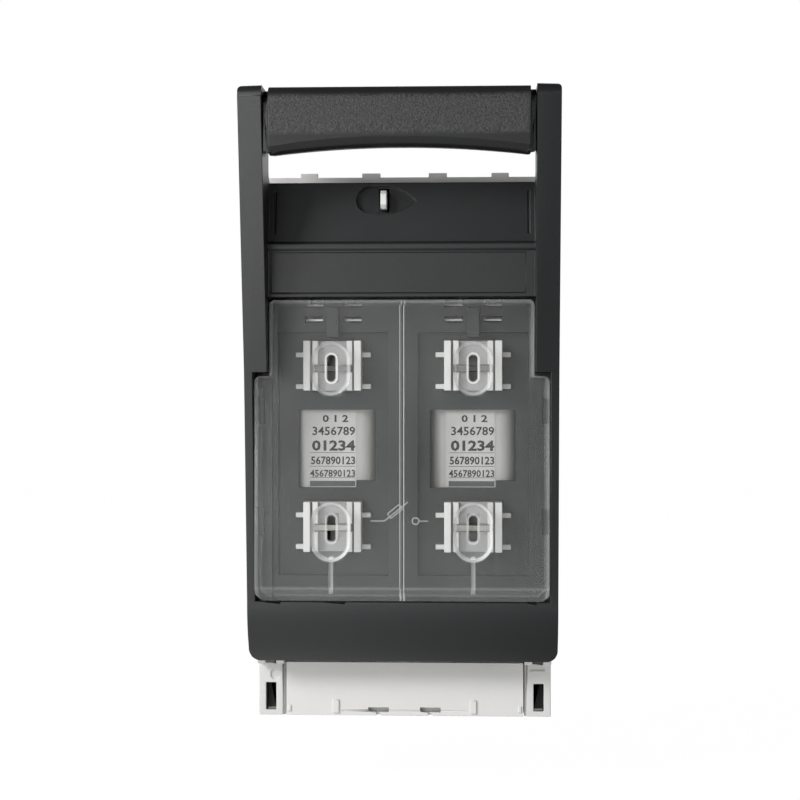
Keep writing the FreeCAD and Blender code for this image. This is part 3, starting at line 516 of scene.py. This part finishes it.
@dataclass(frozen=True)
class Steatite:
    """Unglazed ceramic, cream white, with fine pores."""

    name: str = "steatite"
    colour: Colour = (0.46, 0.455, 0.44)

    def build(self) -> bpy.types.Material:
        """The material."""
        r = Recipe(self.name)
        cloud = r.noise(70.0, 4.0)
        grit = r.noise(2400.0, 2.0)
        pores = r.node("ShaderNodeTexVoronoi", None, {"Vector": r.place, "Scale": 620.0})
        pits = 1.0 - pores.above(0.12, 0.1)
        tone = r.blend(cloud.above(0.5, 0.5), shade(self.colour, 0.93), shade(self.colour, 1.05))
        colour = r.blend(pits * 0.35, tone, shade(self.colour, 0.6))
        return r.surface(Base_Color=colour, Roughness=0.62 + grit * 0.1, Specular_IOR_Level=0.35,
                         Normal=r.relief(grit - pits * 0.8, 0.00005))


@dataclass(frozen=True)
class Paper:
    """Coated paper or ink on it, with its fibres."""

    name: str
    colour: Colour
    roughness: float = 0.5

    def build(self) -> bpy.types.Material:
        """The material."""
        r = Recipe(self.name)
        fibres = r.noise(1500.0, 4.0, r.stretched((1.0, 1.0, 0.3)))
        cloud = r.noise(90.0, 2.0)
        mask = fibres * 0.7 + cloud * 0.3
        colour = r.blend(mask.above(0.5, 0.4), shade(self.colour, 0.94), shade(self.colour, 1.05))
        return r.surface(Base_Color=colour, Roughness=self.roughness + fibres * 0.12,
                         Normal=r.relief(fibres, 0.00002))


@dataclass(frozen=True)
class Backdrop:
    """The floor: white where the camera sees it, with the object's shadow.

    Attributes:
        name: the material's name.
        colour: the paper.
        white: the strength at which the white of the view shows.
        seen: the share of it that the camera sees.
        mirrored: its share in a reflection on the left.
        dimmed_share: its share in a reflection on the right, where it is painted dim.
        dim_edge: where that painted dimming is half, and how wide its edge is.
    """

    name: str = "studio_floor"
    colour: Colour = (0.86, 0.86, 0.86)
    white: float = 1.016
    seen: float = 0.97
    mirrored: float = 0.9
    dimmed_share: float = 0.11
    dim_edge: Pair = (0.03, 0.16)

    def build(self) -> bpy.types.Material:
        """The material."""
        r = Recipe(self.name)
        cloud = r.noise(6.0, 2.0)
        tone = r.blend(cloud, shade(self.colour, 0.99), self.colour)
        paper = r.node("ShaderNodeBsdfPrincipled", None, {"Base Color": tone, "Roughness": 0.8})
        white, dark = (r.node("ShaderNodeEmission", None,
                              {"Color": (level, level, level, 1.0), "Strength": power})
                       for level, power in ((1.0, self.white), (0.0, 0.0)))
        camera, glossy, through = r.rays()
        # painted reflection: in reflections the floor glows bright on the left and is painted dim
        # on the right
        left = 1.0 - r.x.above(*self.dim_edge)
        gloss = glossy * (self.dimmed_share + left * (self.mirrored - self.dimmed_share))
        share = (camera * self.seen + gloss + through * self.seen).maths("MINIMUM", 1.0)
        matt = r.node("ShaderNodeMixShader", None, {0: glossy, 1: paper, 2: dark})
        mixed = r.node("ShaderNodeMixShader", None, {0: share, 1: matt, 2: white})
        r.node("ShaderNodeOutputMaterial", None, {"Surface": mixed})
        return r.material


class Paints:
    """Every finish in use, each made once."""

    def __init__(self) -> None:
        """Build the materials."""
        finishes = [
            Moulding("lid_anthracite", (0.0120, 0.0129, 0.0138), roughness=0.38, specular=0.5,
                     tone=0.12),
            Moulding("panel_anthracite", (0.026, 0.027, 0.028), roughness=0.5, depth=0.00001),
            # painted shade: the latch slots in the base's lower posts are painted nearly black
            Moulding("base_grey", (0.62, 0.62, 0.61), roughness=0.5, specular=0.35, tone=0.04,
                     pits=((0.0532, 0.0578), (-0.1195, -0.1078), -0.0565)),
            Moulding("cover_grey", (0.665, 0.66, 0.645), specular=0.35, tone=0.04),
            # painted shade: the holders' recesses near the poles' middles are painted darker
            Moulding("holder_white", (0.70, 0.70, 0.685), roughness=0.42, tone=0.03,
                     recess=-0.0742, reach=0.0117),
            Moulding("chute_black", (0.035, 0.035, 0.036), roughness=0.6, specular=0.3),
            GrippedMoulding(),
            ClearMoulding(),
            PlatedMetal("zinc_plating", (0.62, 0.62, 0.60)),
            PlatedMetal("silver_plating", (0.80, 0.79, 0.75), roughness=0.28),
            PlatedMetal("tinned_copper", (0.70, 0.68, 0.64), roughness=0.36),
            PlatedMetal("spring_steel", (0.46, 0.47, 0.48), roughness=0.30),
            PlatedMetal("arc_steel", (0.52, 0.52, 0.50), roughness=0.34, lines=DRAWN_BACK),
            PlatedMetal("end_plate_sheet", (0.40, 0.39, 0.36), roughness=0.40, lines=DRAWN_BACK),
            # a copy of the end plates' sheet painted darker, as painted shade on the upper end
            # plates
            PlatedMetal("end_plate_painted_shade", (0.14, 0.137, 0.13), roughness=0.46, lines=DRAWN_BACK),
            Steatite(),
            Paper("label_paper", (0.53, 0.53, 0.52)),
            Paper("label_ink", (0.016, 0.016, 0.017)),
            Paper("label_band", (0.070, 0.072, 0.075), roughness=0.45),
            Backdrop(),
        ]
        self.made = {finish.name: finish.build() for finish in finishes}

    def __getitem__(self, name: str) -> bpy.types.Material:
        """The material of that name."""
        return self.made[name]


# modelling tools


class Bench:
    """Modelling by operators, one piece at a time."""

    @staticmethod
    def clear() -> None:
        """Leave edit mode and deselect everything."""
        if bpy.context.object and bpy.context.object.mode != "OBJECT":
            bpy.ops.object.mode_set(mode="OBJECT")
        bpy.ops.object.select_all(action="DESELECT")

    @staticmethod
    def hold(piece: bpy.types.Object) -> None:
        """Select one piece alone and make it active."""
        Bench.clear()
        piece.select_set(True)
        bpy.context.view_layer.objects.active = piece

    @staticmethod
    def settle(name: str) -> bpy.types.Object:
        """Name the active piece and put its place into its mesh.

        Args:
            name: the piece's name.

        Returns:
            The piece.
        """
        piece = bpy.context.object
        piece.name = name
        piece.data.name = name
        bpy.ops.object.transform_apply(location=True, rotation=True, scale=True)
        return piece

    @staticmethod
    def box(name: str, low: Iterable[float], high: Iterable[float]) -> bpy.types.Object:
        """A box between two corners.

        Args:
            name: the piece's name.
            low: its lowest corner.
            high: its highest corner.

        Returns:
            The piece.
        """
        low, high = Vector(low), Vector(high)
        Bench.clear()
        bpy.ops.mesh.primitive_cube_add(size=1, location=(low + high) / 2, scale=high - low)
        return Bench.settle(name)

    @staticmethod
    def figures(name: str, body: str, across: Pair, up: Pair, front: float, depth: float,
                weight: float) -> bpy.types.Object:
        """Plain figures that fill a rectangle and face the front.

        Args:
            name: the piece's name.
            body: the figures.
            across: limits in X.
            up: limits in Z.
            front: the plane that they lie on.
            depth: how far they stand proud.
            weight: how much fatter they are than the plain font.

        Returns:
            The piece.
        """
        Bench.clear()
        bpy.ops.object.text_add(rotation=(math.pi / 2, 0, 0))
        text = bpy.context.object
        text.data.body = body
        text.data.offset = weight
        text.data.extrude = 0.5
        text.data.resolution_u = 2
        bpy.ops.object.convert(target="MESH")
        bpy.ops.object.transform_apply(location=True, rotation=True, scale=True)
        piece = bpy.context.object
        low, high = (Vector([limit(v.co[i] for v in piece.data.vertices) for i in range(3)])
                     for limit in (min, max))
        piece.scale = ((across[1] - across[0]) / (high.x - low.x), 2 * depth / (high.y - low.y),
                       (up[1] - up[0]) / (high.z - low.z))
        piece.location = (across[0] - low.x * piece.scale.x,
                          front - (low.y + high.y) / 2 * piece.scale.y,
                          up[0] - low.z * piece.scale.z)
        return Bench.settle(name)

    @staticmethod
    def pick(piece: bpy.types.Object, element: Element, test: Callable[..., bool]) -> int:
        """Open a piece in edit mode with some elements selected.

        Args:
            piece: the piece.
            element: what is selected, points or edges.
            test: says whether one of them is selected.

        Returns:
            How many elements are selected.
        """
        Bench.hold(piece)
        bpy.ops.object.mode_set(mode="EDIT")
        bpy.ops.mesh.select_mode(type=element.value)
        bpy.ops.mesh.select_all(action="DESELECT")
        mesh = bmesh.from_edit_mesh(piece.data)
        count = 0
        for candidate in mesh.verts if element is Element.POINT else mesh.edges:
            if test(candidate):
                candidate.select_set(True)
                count += 1
        mesh.select_flush_mode()
        bmesh.update_edit_mesh(piece.data)
        return count

    @staticmethod
    def soften(piece: bpy.types.Object, width: float, steps: int = 2,
               wanted: Callable[[Vector], bool] = lambda middle: True) -> None:
        """Round the sharp edges of a piece and shade its flats flat and its curves smooth.

        Args:
            piece: the piece.
            width: width of the rounding.
            steps: how many faces go round an edge.
            wanted: says from an edge's middle whether it is rounded.
        """
        def sharp_edge(edge: bmesh.types.BMEdge) -> bool:
            """Whether the edge is sharp, long enough and wanted."""
            return (len(edge.link_faces) == 2 and edge.calc_length() > SHORTEST_EDGE
                    and edge.calc_face_angle(0.0) > SHARP
                    and wanted((edge.verts[0].co + edge.verts[1].co) / 2))

        if Bench.pick(piece, Element.EDGE, sharp_edge):
            bpy.ops.mesh.bevel(offset=width, segments=steps, affect="EDGES", clamp_overlap=False)
        bpy.ops.object.mode_set(mode="OBJECT")
        bpy.ops.object.shade_smooth_by_angle(angle=SMOOTH)
        bpy.ops.object.modifier_add(type="WEIGHTED_NORMAL")
        piece.modifiers[-1].keep_sharp = True
        bpy.ops.object.modifier_apply(modifier=piece.modifiers[-1].name)

    @staticmethod
    def merged(node: str, name: str, flat: float = 0.6) -> bpy.types.Object:
        """A merged copy of a CAD node.

        Args:
            node: the CAD node.
            name: the new piece's name.
            flat: the angle in degrees below which two of its faces become one.

        Returns:
            The piece.
        """
        piece = bpy.data.objects.new(name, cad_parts[node].data.copy())
        piece.data.name = name
        piece.data.materials.clear()
        bpy.context.collection.objects.link(piece)
        Bench.pick(piece, Element.POINT, lambda vertex: True)
        bpy.ops.mesh.remove_doubles(threshold=MERGED)
        bpy.ops.mesh.dissolve_limited(angle_limit=math.radians(flat))
        bpy.ops.object.mode_set(mode="OBJECT")
        return piece

    @staticmethod
    def shift(piece: bpy.types.Object, wanted: Callable[[Vector], bool], move: Triple) -> None:
        """Move some of a piece's points.

        Args:
            piece: the piece.
            wanted: says from a point's place whether it moves.
            move: how far it moves along each axis.
        """
        Bench.pick(piece, Element.POINT, lambda vertex: wanted(vertex.co))
        bpy.ops.transform.translate(value=move)
        bpy.ops.object.mode_set(mode="OBJECT")

    @staticmethod
    def join(name: str, pieces: list[bpy.types.Object]) -> bpy.types.Object:
        """Several pieces as one object.

        Args:
            name: its name.
            pieces: the pieces, of which the first takes in the others.

        Returns:
            The piece.
        """
        Bench.hold(pieces[0])
        for piece in pieces:
            piece.select_set(True)
        bpy.ops.object.join()
        piece = bpy.context.object
        piece.name = name
        return piece


@dataclass
class Part:
    """What every sub-assembly shares: the paints and how a finished piece is handed over."""

    paints: Paints

    def hand_over(self, piece: bpy.types.Object, paint: str, body: Body, slot: str,
                  stands_for: Iterable[str] = ()) -> bpy.types.Object:
        """Dress a piece and fix it to its body.

        Args:
            piece: the finished piece.
            paint: name of its finish.
            body: the body that carries it.
            slot: the record's material slot; not used.
            stands_for: the CAD nodes that it replaces.

        Returns:
            The piece.
        """
        piece.data.materials.clear()
        piece.data.materials.append(self.paints[paint])
        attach(piece, body.value)
        if stands_for:
            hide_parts(*stands_for)
        LOG.info("%s: %d faces, %s, on %s", piece.name, len(piece.data.polygons), paint, body.value)
        return piece

    def refine(self, node: str, width: float, paint: str, body: Body, slot: str, steps: int = 2,
               wanted: Callable[[Vector], bool] = lambda middle: True) -> bpy.types.Object:
        """Replace a CAD node by a merged copy with its edges rounded.

        Args:
            node: the CAD node.
            width: width of the rounding.
            paint: name of its finish.
            body: the body that carries it.
            slot: the record's material slot.
            steps: how many faces go round an edge.
            wanted: says from an edge's middle whether it is rounded.

        Returns:
            The piece.
        """
        piece = Bench.merged(node, node + "_finished")
        Bench.soften(piece, width, steps, wanted)
        return self.hand_over(piece, paint, body, slot, [node])


# sub-assemblies


@dataclass
class Housing(Part):
    """The moulded base with its covers, seal tab and hinge pins.

    Attributes:
        edge: width of the base's rounded edges.
        cover_edge: that of the covers and the seal tab.
        small_edge: that of the pins and the latch tongues.
        sharp_foot: how far behind its front, and how high above its foot, the lower cover's edges
            stay sharp, because its ledges leave no room for a rounding.
        tongue: limits of a latch tongue, from the middle plane.
        tongue_rear: its limits behind the lower cover's front.
        tongue_up: its limits above that cover's foot.
    """

    edge: float = 0.00035
    cover_edge: float = 0.00025
    small_edge: float = 0.0003
    sharp_foot: Pair = (0.002, 0.005)
    tongue: Pair = (0.0056, 0.0158)
    tongue_rear: Pair = (0.0048, 0.0064)
    tongue_up: Pair = (0.0011, 0.0078)

    def build(self) -> None:
        """Model and dress the pieces."""
        self.refine("base_housing", self.edge, "base_grey", Body.BASE, "base_plastic")
        low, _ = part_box("bottom_terminal_cover")
        rear, top = low[1] + self.sharp_foot[0], low[2] + self.sharp_foot[1]
        self.refine("bottom_terminal_cover", self.cover_edge, "cover_grey", Body.BOTTOM_COVER,
                    "cover_plastic", wanted=lambda middle: middle.y < rear or middle.z > top)
        self.refine("top_terminal_cover", self.cover_edge, "cover_grey", Body.TOP_COVER,
                    "cover_plastic")
        self.refine("seal_tab", self.cover_edge, "holder_white", Body.BASE, "white_plastic")
        self.refine("hinge_pins", self.small_edge, "zinc_plating", Body.BASE, "plated_steel")
        self.add_tongues()

    def add_tongues(self) -> None:
        """Stand a latch tongue on the ledge behind each slot of the lower cover."""
        low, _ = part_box("bottom_terminal_cover")
        front, rear = (low[1] + depth for depth in self.tongue_rear)
        foot, top = (low[2] + height for height in self.tongue_up)
        for side, way in zip(SIDES, (-1, 1)):
            across = sorted(way * limit for limit in self.tongue)
            piece = Bench.box("latch_tongue_" + side, (across[0], front, foot),
                              (across[1], rear, top))
            Bench.soften(piece, self.small_edge)
            self.hand_over(piece, "cover_grey", Body.BOTTOM_COVER, "cover_plastic")


@dataclass
class Contacts(Part):
    """Jaws, springs, bars, fasteners and arc chutes behind the lid.

    Attributes:
        edge: width of the rounded edges of the jaws and the chutes.
        thin_edge: that of the springs and the arc plates.
        bar_edge: that of the bars and the small screws.
        bolt_edge: that of the terminal bolts.
    """

    edge: float = 0.0002
    thin_edge: float = 0.0001
    bar_edge: float = 0.0003
    bolt_edge: float = 0.0004

    def build(self) -> None:
        """Model and dress the pieces."""
        for end in ENDS:
            self.refine("jaw_" + end, self.edge, "silver_plating", Body.BASE, "silvered_copper")
            self.refine("jaw_springs_" + end, self.thin_edge, "spring_steel", Body.BASE,
                        "spring_steel", steps=1)
            self.refine("terminal_bar_" + end, self.bar_edge, "tinned_copper", Body.BASE,
                        "tinned_copper")
        for side in SIDES:
            self.refine("arc_chute_" + side, self.edge, "chute_black", Body.BASE, "chute_plastic")
            self.refine("arc_plates_" + side, self.thin_edge, "arc_steel", Body.BASE, "arc_steel",
                        steps=1)
        self.refine("contact_screws", self.bar_edge, "zinc_plating", Body.BASE, "plated_steel")
        self.refine("terminal_bolts", self.bolt_edge, "zinc_plating", Body.BASE, "plated_steel")


@dataclass(frozen=True)
class PrintedRow:
    """One row of plain figures on a label, placed from the pole's middle.

    Attributes:
        figures: what the row says.
        left: its left end.
        right: its right end.
        middle: its middle height.
        height: how tall its figures are.
        weight: how much fatter they are than the plain font.
    """

    figures: str
    left: float
    right: float
    middle: float
    height: float
    weight: float = 0.0


@dataclass
class FuseLinks(Part):
    """The two knife-blade fuse-links with their labels.

    Attributes:
        body_edge: width of the ceramic bodies' rounded edges.
        blade_edge: that of the blades.
        label_edge: that of the labels.
        plate_edge: that of the end plates.
        front: a label's front face in Y.
        ink: how far the printing stands in front of it and reaches behind it.
        span: limits of a label's printed field, from the pole's middle.
        rules: the height of each fine rule.
        rule_weight: how thick a rule is.
        band_up: limits of the dark band above a label's lower edge.
        band_gap: what the band leaves free at a label's right edge.
        rows: the rows of figures.
    """

    body_edge: float = 0.0008
    blade_edge: float = 0.0005
    label_edge: float = 0.00008
    plate_edge: float = 0.0003
    front: float = -0.0657
    ink: float = 0.00005
    span: Pair = (-0.0100, 0.0086)
    rules: Triple = (-0.0122, -0.0178, -0.0224)
    rule_weight: float = 0.00018
    band_up: Pair = (0.0004, 0.0026)
    band_gap: float = 0.0003
    rows: tuple[PrintedRow, ...] = (
        PrintedRow("0 1 2", -0.0048, 0.0058, 0.0019, 0.0030, 0.030),
        PrintedRow("3456789", -0.0090, 0.0086, -0.0032, 0.0036, 0.018),
        PrintedRow("01234", -0.0092, 0.0086, -0.0092, 0.0044, 0.035),
        PrintedRow("567890123", -0.0096, 0.0086, -0.0153, 0.0034, 0.024),
        PrintedRow("4567890123", -0.0100, 0.0086, -0.0206, 0.0030, 0.020),
    )

    def build(self) -> None:
        """Model and dress the pieces."""
        for side, pole in zip(SIDES, POLES):
            self.refine("fuse_body_" + side, self.body_edge, "steatite", Body.LID, "ceramic",
                        steps=3)
            self.refine("fuse_blades_" + side, self.blade_edge, "silver_plating", Body.LID,
                        "silvered_copper")
            self.refine("fuse_label_" + side, self.label_edge, "label_paper", Body.LID,
                        "label_paper", steps=1)
            self.print_label(side, pole)
        for end in ENDS:
            # the upper end plates take a copy of the sheet painted darker, as painted shade
            sheet = "end_plate_painted_shade" if end.startswith("top") else "end_plate_sheet"
            self.refine("end_plate_" + end, self.plate_edge, sheet, Body.LID, "end_plate_metal")

    def print_label(self, side: str, pole: float) -> None:
        """Lay rows of plain figures, fine rules and a dark band on one label.

        Args:
            side: the fuse-link's side.
            pole: its middle plane.
        """
        low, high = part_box("fuse_label_" + side)
        figures = [Bench.figures("figures", row.figures, (pole + row.left, pole + row.right),
                                 (row.middle - row.height / 2, row.middle + row.height / 2),
                                 self.front, self.ink, row.weight) for row in self.rows]
        front, rear = self.front - self.ink, self.front + self.ink
        left, right = (pole + limit for limit in self.span)
        lines = [Bench.box("rule", (left, front, foot), (right, rear, foot + self.rule_weight))
                 for foot in self.rules]
        self.hand_over(Bench.join("label_figures_" + side, figures + lines), "label_ink", Body.LID,
                       "label_paper")
        foot, top = (low[2] + height for height in self.band_up)
        band = Bench.box("label_band_" + side, (left, front, foot),
                         (high[0] - self.band_gap, rear, top))
        self.hand_over(band, "label_band", Body.LID, "label_paper")


@dataclass
class Lid(Part):
    """The lid moulding, its grip, the inner panel and the lug holders.

    Attributes:
        edge: width of the moulding's rounded edges.
        flat: the angle in degrees below which two faces of the moulding become one, wider than in
            other pieces so that its slight bends reflect as one face.
        arm_in: half of the width between the arms.
        arm_foot: an arm's front in Y and Z, where it starts.
        arm_head: its front in Y and Z, where it turns upright.
        arm_slack: how far behind that line a point of its front edge may lie, below its head and
            above it.
        crown: how far each arm's inner front edge stands proud, so that its face slopes outwards.
        grip_edge: width of the grip's rounded edges.
        grip_rear: the place in Y behind which its lower edge is tucked up.
        grip_low: the height below which it is.
        tuck: how far it is.
        panel_edge: width of the inner panel's rounded edges.
        holder_edge: that of the lug holders.
    """

    edge: float = 0.00033
    flat: float = 2.2
    arm_in: float = 0.0532
    arm_foot: Pair = (-0.0900, 0.0206)
    arm_head: Pair = (-0.1100, 0.1260)
    arm_slack: Pair = (0.0002, 0.0048)
    crown: float = 0.0011
    grip_edge: float = 0.0006
    grip_rear: float = -0.0903
    grip_low: float = 0.1095
    tuck: float = 0.0018
    panel_edge: float = 0.0002
    holder_edge: float = 0.00025

    def build(self) -> None:
        """Model and dress the pieces."""
        shell = Bench.merged("lid_frame", "lid_frame_finished", self.flat)
        Bench.shift(shell, self.on_arm_edge, (0.0, -self.crown, 0.0))
        Bench.soften(shell, self.edge)
        self.hand_over(shell, "lid_anthracite", Body.LID, "lid_plastic", ["lid_frame"])
        grip = Bench.merged("handle_grip", "handle_grip_finished")
        Bench.shift(grip, self.on_grip_edge, (0.0, 0.0, self.tuck))
        Bench.soften(grip, self.grip_edge)
        self.hand_over(grip, "grip_leather_grain", Body.LID, "grip_plastic", ["handle_grip"])
        self.refine("inner_panel", self.panel_edge, "panel_anthracite", Body.LID, "panel_plastic")
        for end in ENDS:
            self.refine("lug_holder_" + end, self.holder_edge, "holder_white", Body.LID,
                        "white_plastic")

    def on_arm_edge(self, point: Vector) -> bool:
        """Whether a point is on an arm's inner front edge.

        Args:
            point: the point.

        Returns:
            True on the edge.
        """
        (foot, low), (head, high) = self.arm_foot, self.arm_head
        rise = min(1.0, (point.z - low) / (high - low))
        below, above = self.arm_slack
        front = foot + (head - foot) * rise + (below if rise < 1.0 else above)
        return abs(abs(point.x) - self.arm_in) < NEAR and rise > -0.001 and point.y < front

    def on_grip_edge(self, point: Vector) -> bool:
        """Whether a point is on the grip's rear lower edge."""
        return point.y > self.grip_rear and point.z < self.grip_low


@dataclass
class Window(Part):
    """The clear window.

    Attributes:
        edge: width of its rounded edges.
        symbol_rear: the place in Y behind which nothing belongs to the moulded symbol.
        symbol_half: half of the width of the field that holds it.
        symbol_up: that field's limits in Z.
        lift: how far the symbol is raised to its place.
    """

    edge: float = 0.0004
    symbol_rear: float = WINDOW_FRONT + 0.0003
    symbol_half: float = 0.015
    symbol_up: Pair = (-0.051, -0.038)
    lift: float = 0.0093

    def build(self) -> None:
        """Model and dress the window, with the thin lines of its symbol left sharp."""
        piece = self.refine("window", self.edge, "clear_window", Body.WINDOW, "clear_plastic",
                            wanted=lambda middle: not self.on_symbol(middle))
        Bench.shift(piece, self.on_symbol, (0.0, 0.0, self.lift))

    def on_symbol(self, point: Vector) -> bool:
        """Whether a point belongs to the moulded symbol."""
        low, high = self.symbol_up
        return (point.y < self.symbol_rear and abs(point.x) < self.symbol_half
                and low < point.z < high)


@dataclass(frozen=True)
class Lamp:
    """A soft lamp: its name, its place, the width and height of its panel, and its watts."""

    name: str
    place: Triple
    size: Pair
    power: float


@dataclass
class Studio(Part):
    """Floor, backdrop light, lamps and the camera of the photograph.

    The real object hangs on its plate, so nothing says how high the floor is. It lies so low that
    the drawn-out lower cover clears it.

    Attributes:
        floor: the floor's height.
        spread: its length and width.
        eye: where the camera stands.
        aim: the point that it looks at.
        lens: its focal length in millimetres.
        film: its film's width in millimetres.
        clip: the least distance that it sees.
        heart: the point that the lamps face.
        lamps: the lamps.
        soft: the strength of the light all round.
        front_glow: the strength of the bright band in front, in reflections.
        band: the band's lower and upper edge, as heights in a unit sphere, and their softness.
        ceiling: where the light behind ends, with the softness of that edge.
        turn: where the light in front gives way to the light behind, with its softness.
        dim: the least that a reflection sees.
    """

    floor: float = -0.1522
    spread: float = 6.0
    eye: Triple = (0.030, -0.786, 0.0095)
    aim: Triple = (-0.0006, -0.086, 0.0095)
    lens: float = 79.14
    film: float = 36.0
    clip: float = 0.01
    heart: Triple = (0.0, -0.05, 0.0)
    lamps: tuple[Lamp, ...] = (
        Lamp("key", (-0.40, -1.0, -0.04), (0.52, 0.15), 1.8),
        Lamp("side", (-1.00, -0.98, 0.70), (0.5, 0.5), 19.0),
    )
    soft: float = 0.40
    front_glow: float = 1.50
    band: Triple = (0.03, 0.25, 0.14)
    ceiling: Pair = (0.5, 0.3)
    turn: Pair = (-0.25, 0.5)
    dim: float = 0.04

    def build(self) -> None:
        """Set up the stage."""
        bpy.context.scene.view_settings.view_transform = "Standard"
        self.lay_floor()
        self.light_world()
        for lamp in self.lamps:
            self.hang(lamp)
        self.place_camera()

    def lay_floor(self) -> None:
        """Lay the floor under the object."""
        Bench.clear()
        bpy.ops.mesh.primitive_plane_add(size=self.spread, location=(0, 0, self.floor))
        plane = Bench.settle("studio_floor")
        plane.data.materials.append(self.paints["studio_floor"])

    def light_world(self) -> None:
        """White where it is seen, and a soft light all round.

        Glossy surfaces see a bright band round the horizon under a dark ceiling.
        """
        world = bpy.data.worlds.new("studio")
        bpy.context.scene.world = world
        world.use_nodes = True
        sky = Tree(world.node_tree)
        way = sky.node("ShaderNodeTexCoord", output="Generated")
        depth, height = (sky.node("ShaderNodeSeparateXYZ", values={"Vector": way}, output=axis)
                         for axis in "YZ")
        camera, glossy, through = sky.rays()
        ahead = self.front_glow * height.within(*self.band)
        around = 1.0 - height.above(*self.ceiling)
        room = ahead + (around - ahead) * depth.above(*self.turn)
        room = self.dim + room * (1.0 - self.dim)
        mirrored = self.soft + glossy * (room - self.soft)
        strength = mirrored + (camera + through).maths("MINIMUM", 1.0) * (1.0 - mirrored)
        light = sky.node("ShaderNodeBackground", None,
                         {"Color": (1.0, 1.0, 1.0, 1.0), "Strength": strength})
        sky.node("ShaderNodeOutputWorld", None, {"Surface": light})

    @staticmethod
    def turn_to(thing: bpy.types.Object, target: Triple) -> None:
        """Turn a lamp or the camera towards a point."""
        way = Vector(target) - thing.location
        thing.rotation_euler = way.to_track_quat("-Z", "Y").to_euler()

    def hang(self, lamp: Lamp) -> None:
        """Hang a lamp so that it faces the object.

        Args:
            lamp: the lamp.
        """
        Bench.clear()
        bpy.ops.object.light_add(type="AREA", location=lamp.place)
        made = bpy.context.object
        made.name = lamp.name
        made.data.shape = "RECTANGLE"
        made.data.size, made.data.size_y = lamp.size
        made.data.energy = lamp.power
        self.turn_to(made, self.heart)

    def place_camera(self) -> None:
        """Put the camera where the photograph was taken."""
        Bench.clear()
        bpy.ops.object.camera_add(location=self.eye)
        camera = bpy.context.object
        camera.name = "photo_camera"
        camera.data.lens = self.lens
        camera.data.sensor_width = self.film
        camera.data.clip_start = self.clip
        self.turn_to(camera, self.aim)
        bpy.context.scene.camera = camera


def main() -> None:
    """Dress the frame and report each piece."""
    logging.basicConfig(level=logging.INFO, format="%(name)s: %(message)s")
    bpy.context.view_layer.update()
    paints = Paints()
    for part in (Studio(paints), Housing(paints), Contacts(paints), FuseLinks(paints), Lid(paints),
                 Window(paints)):
        part.build()
    Bench.clear()


if __name__ == "__main__":
    main()
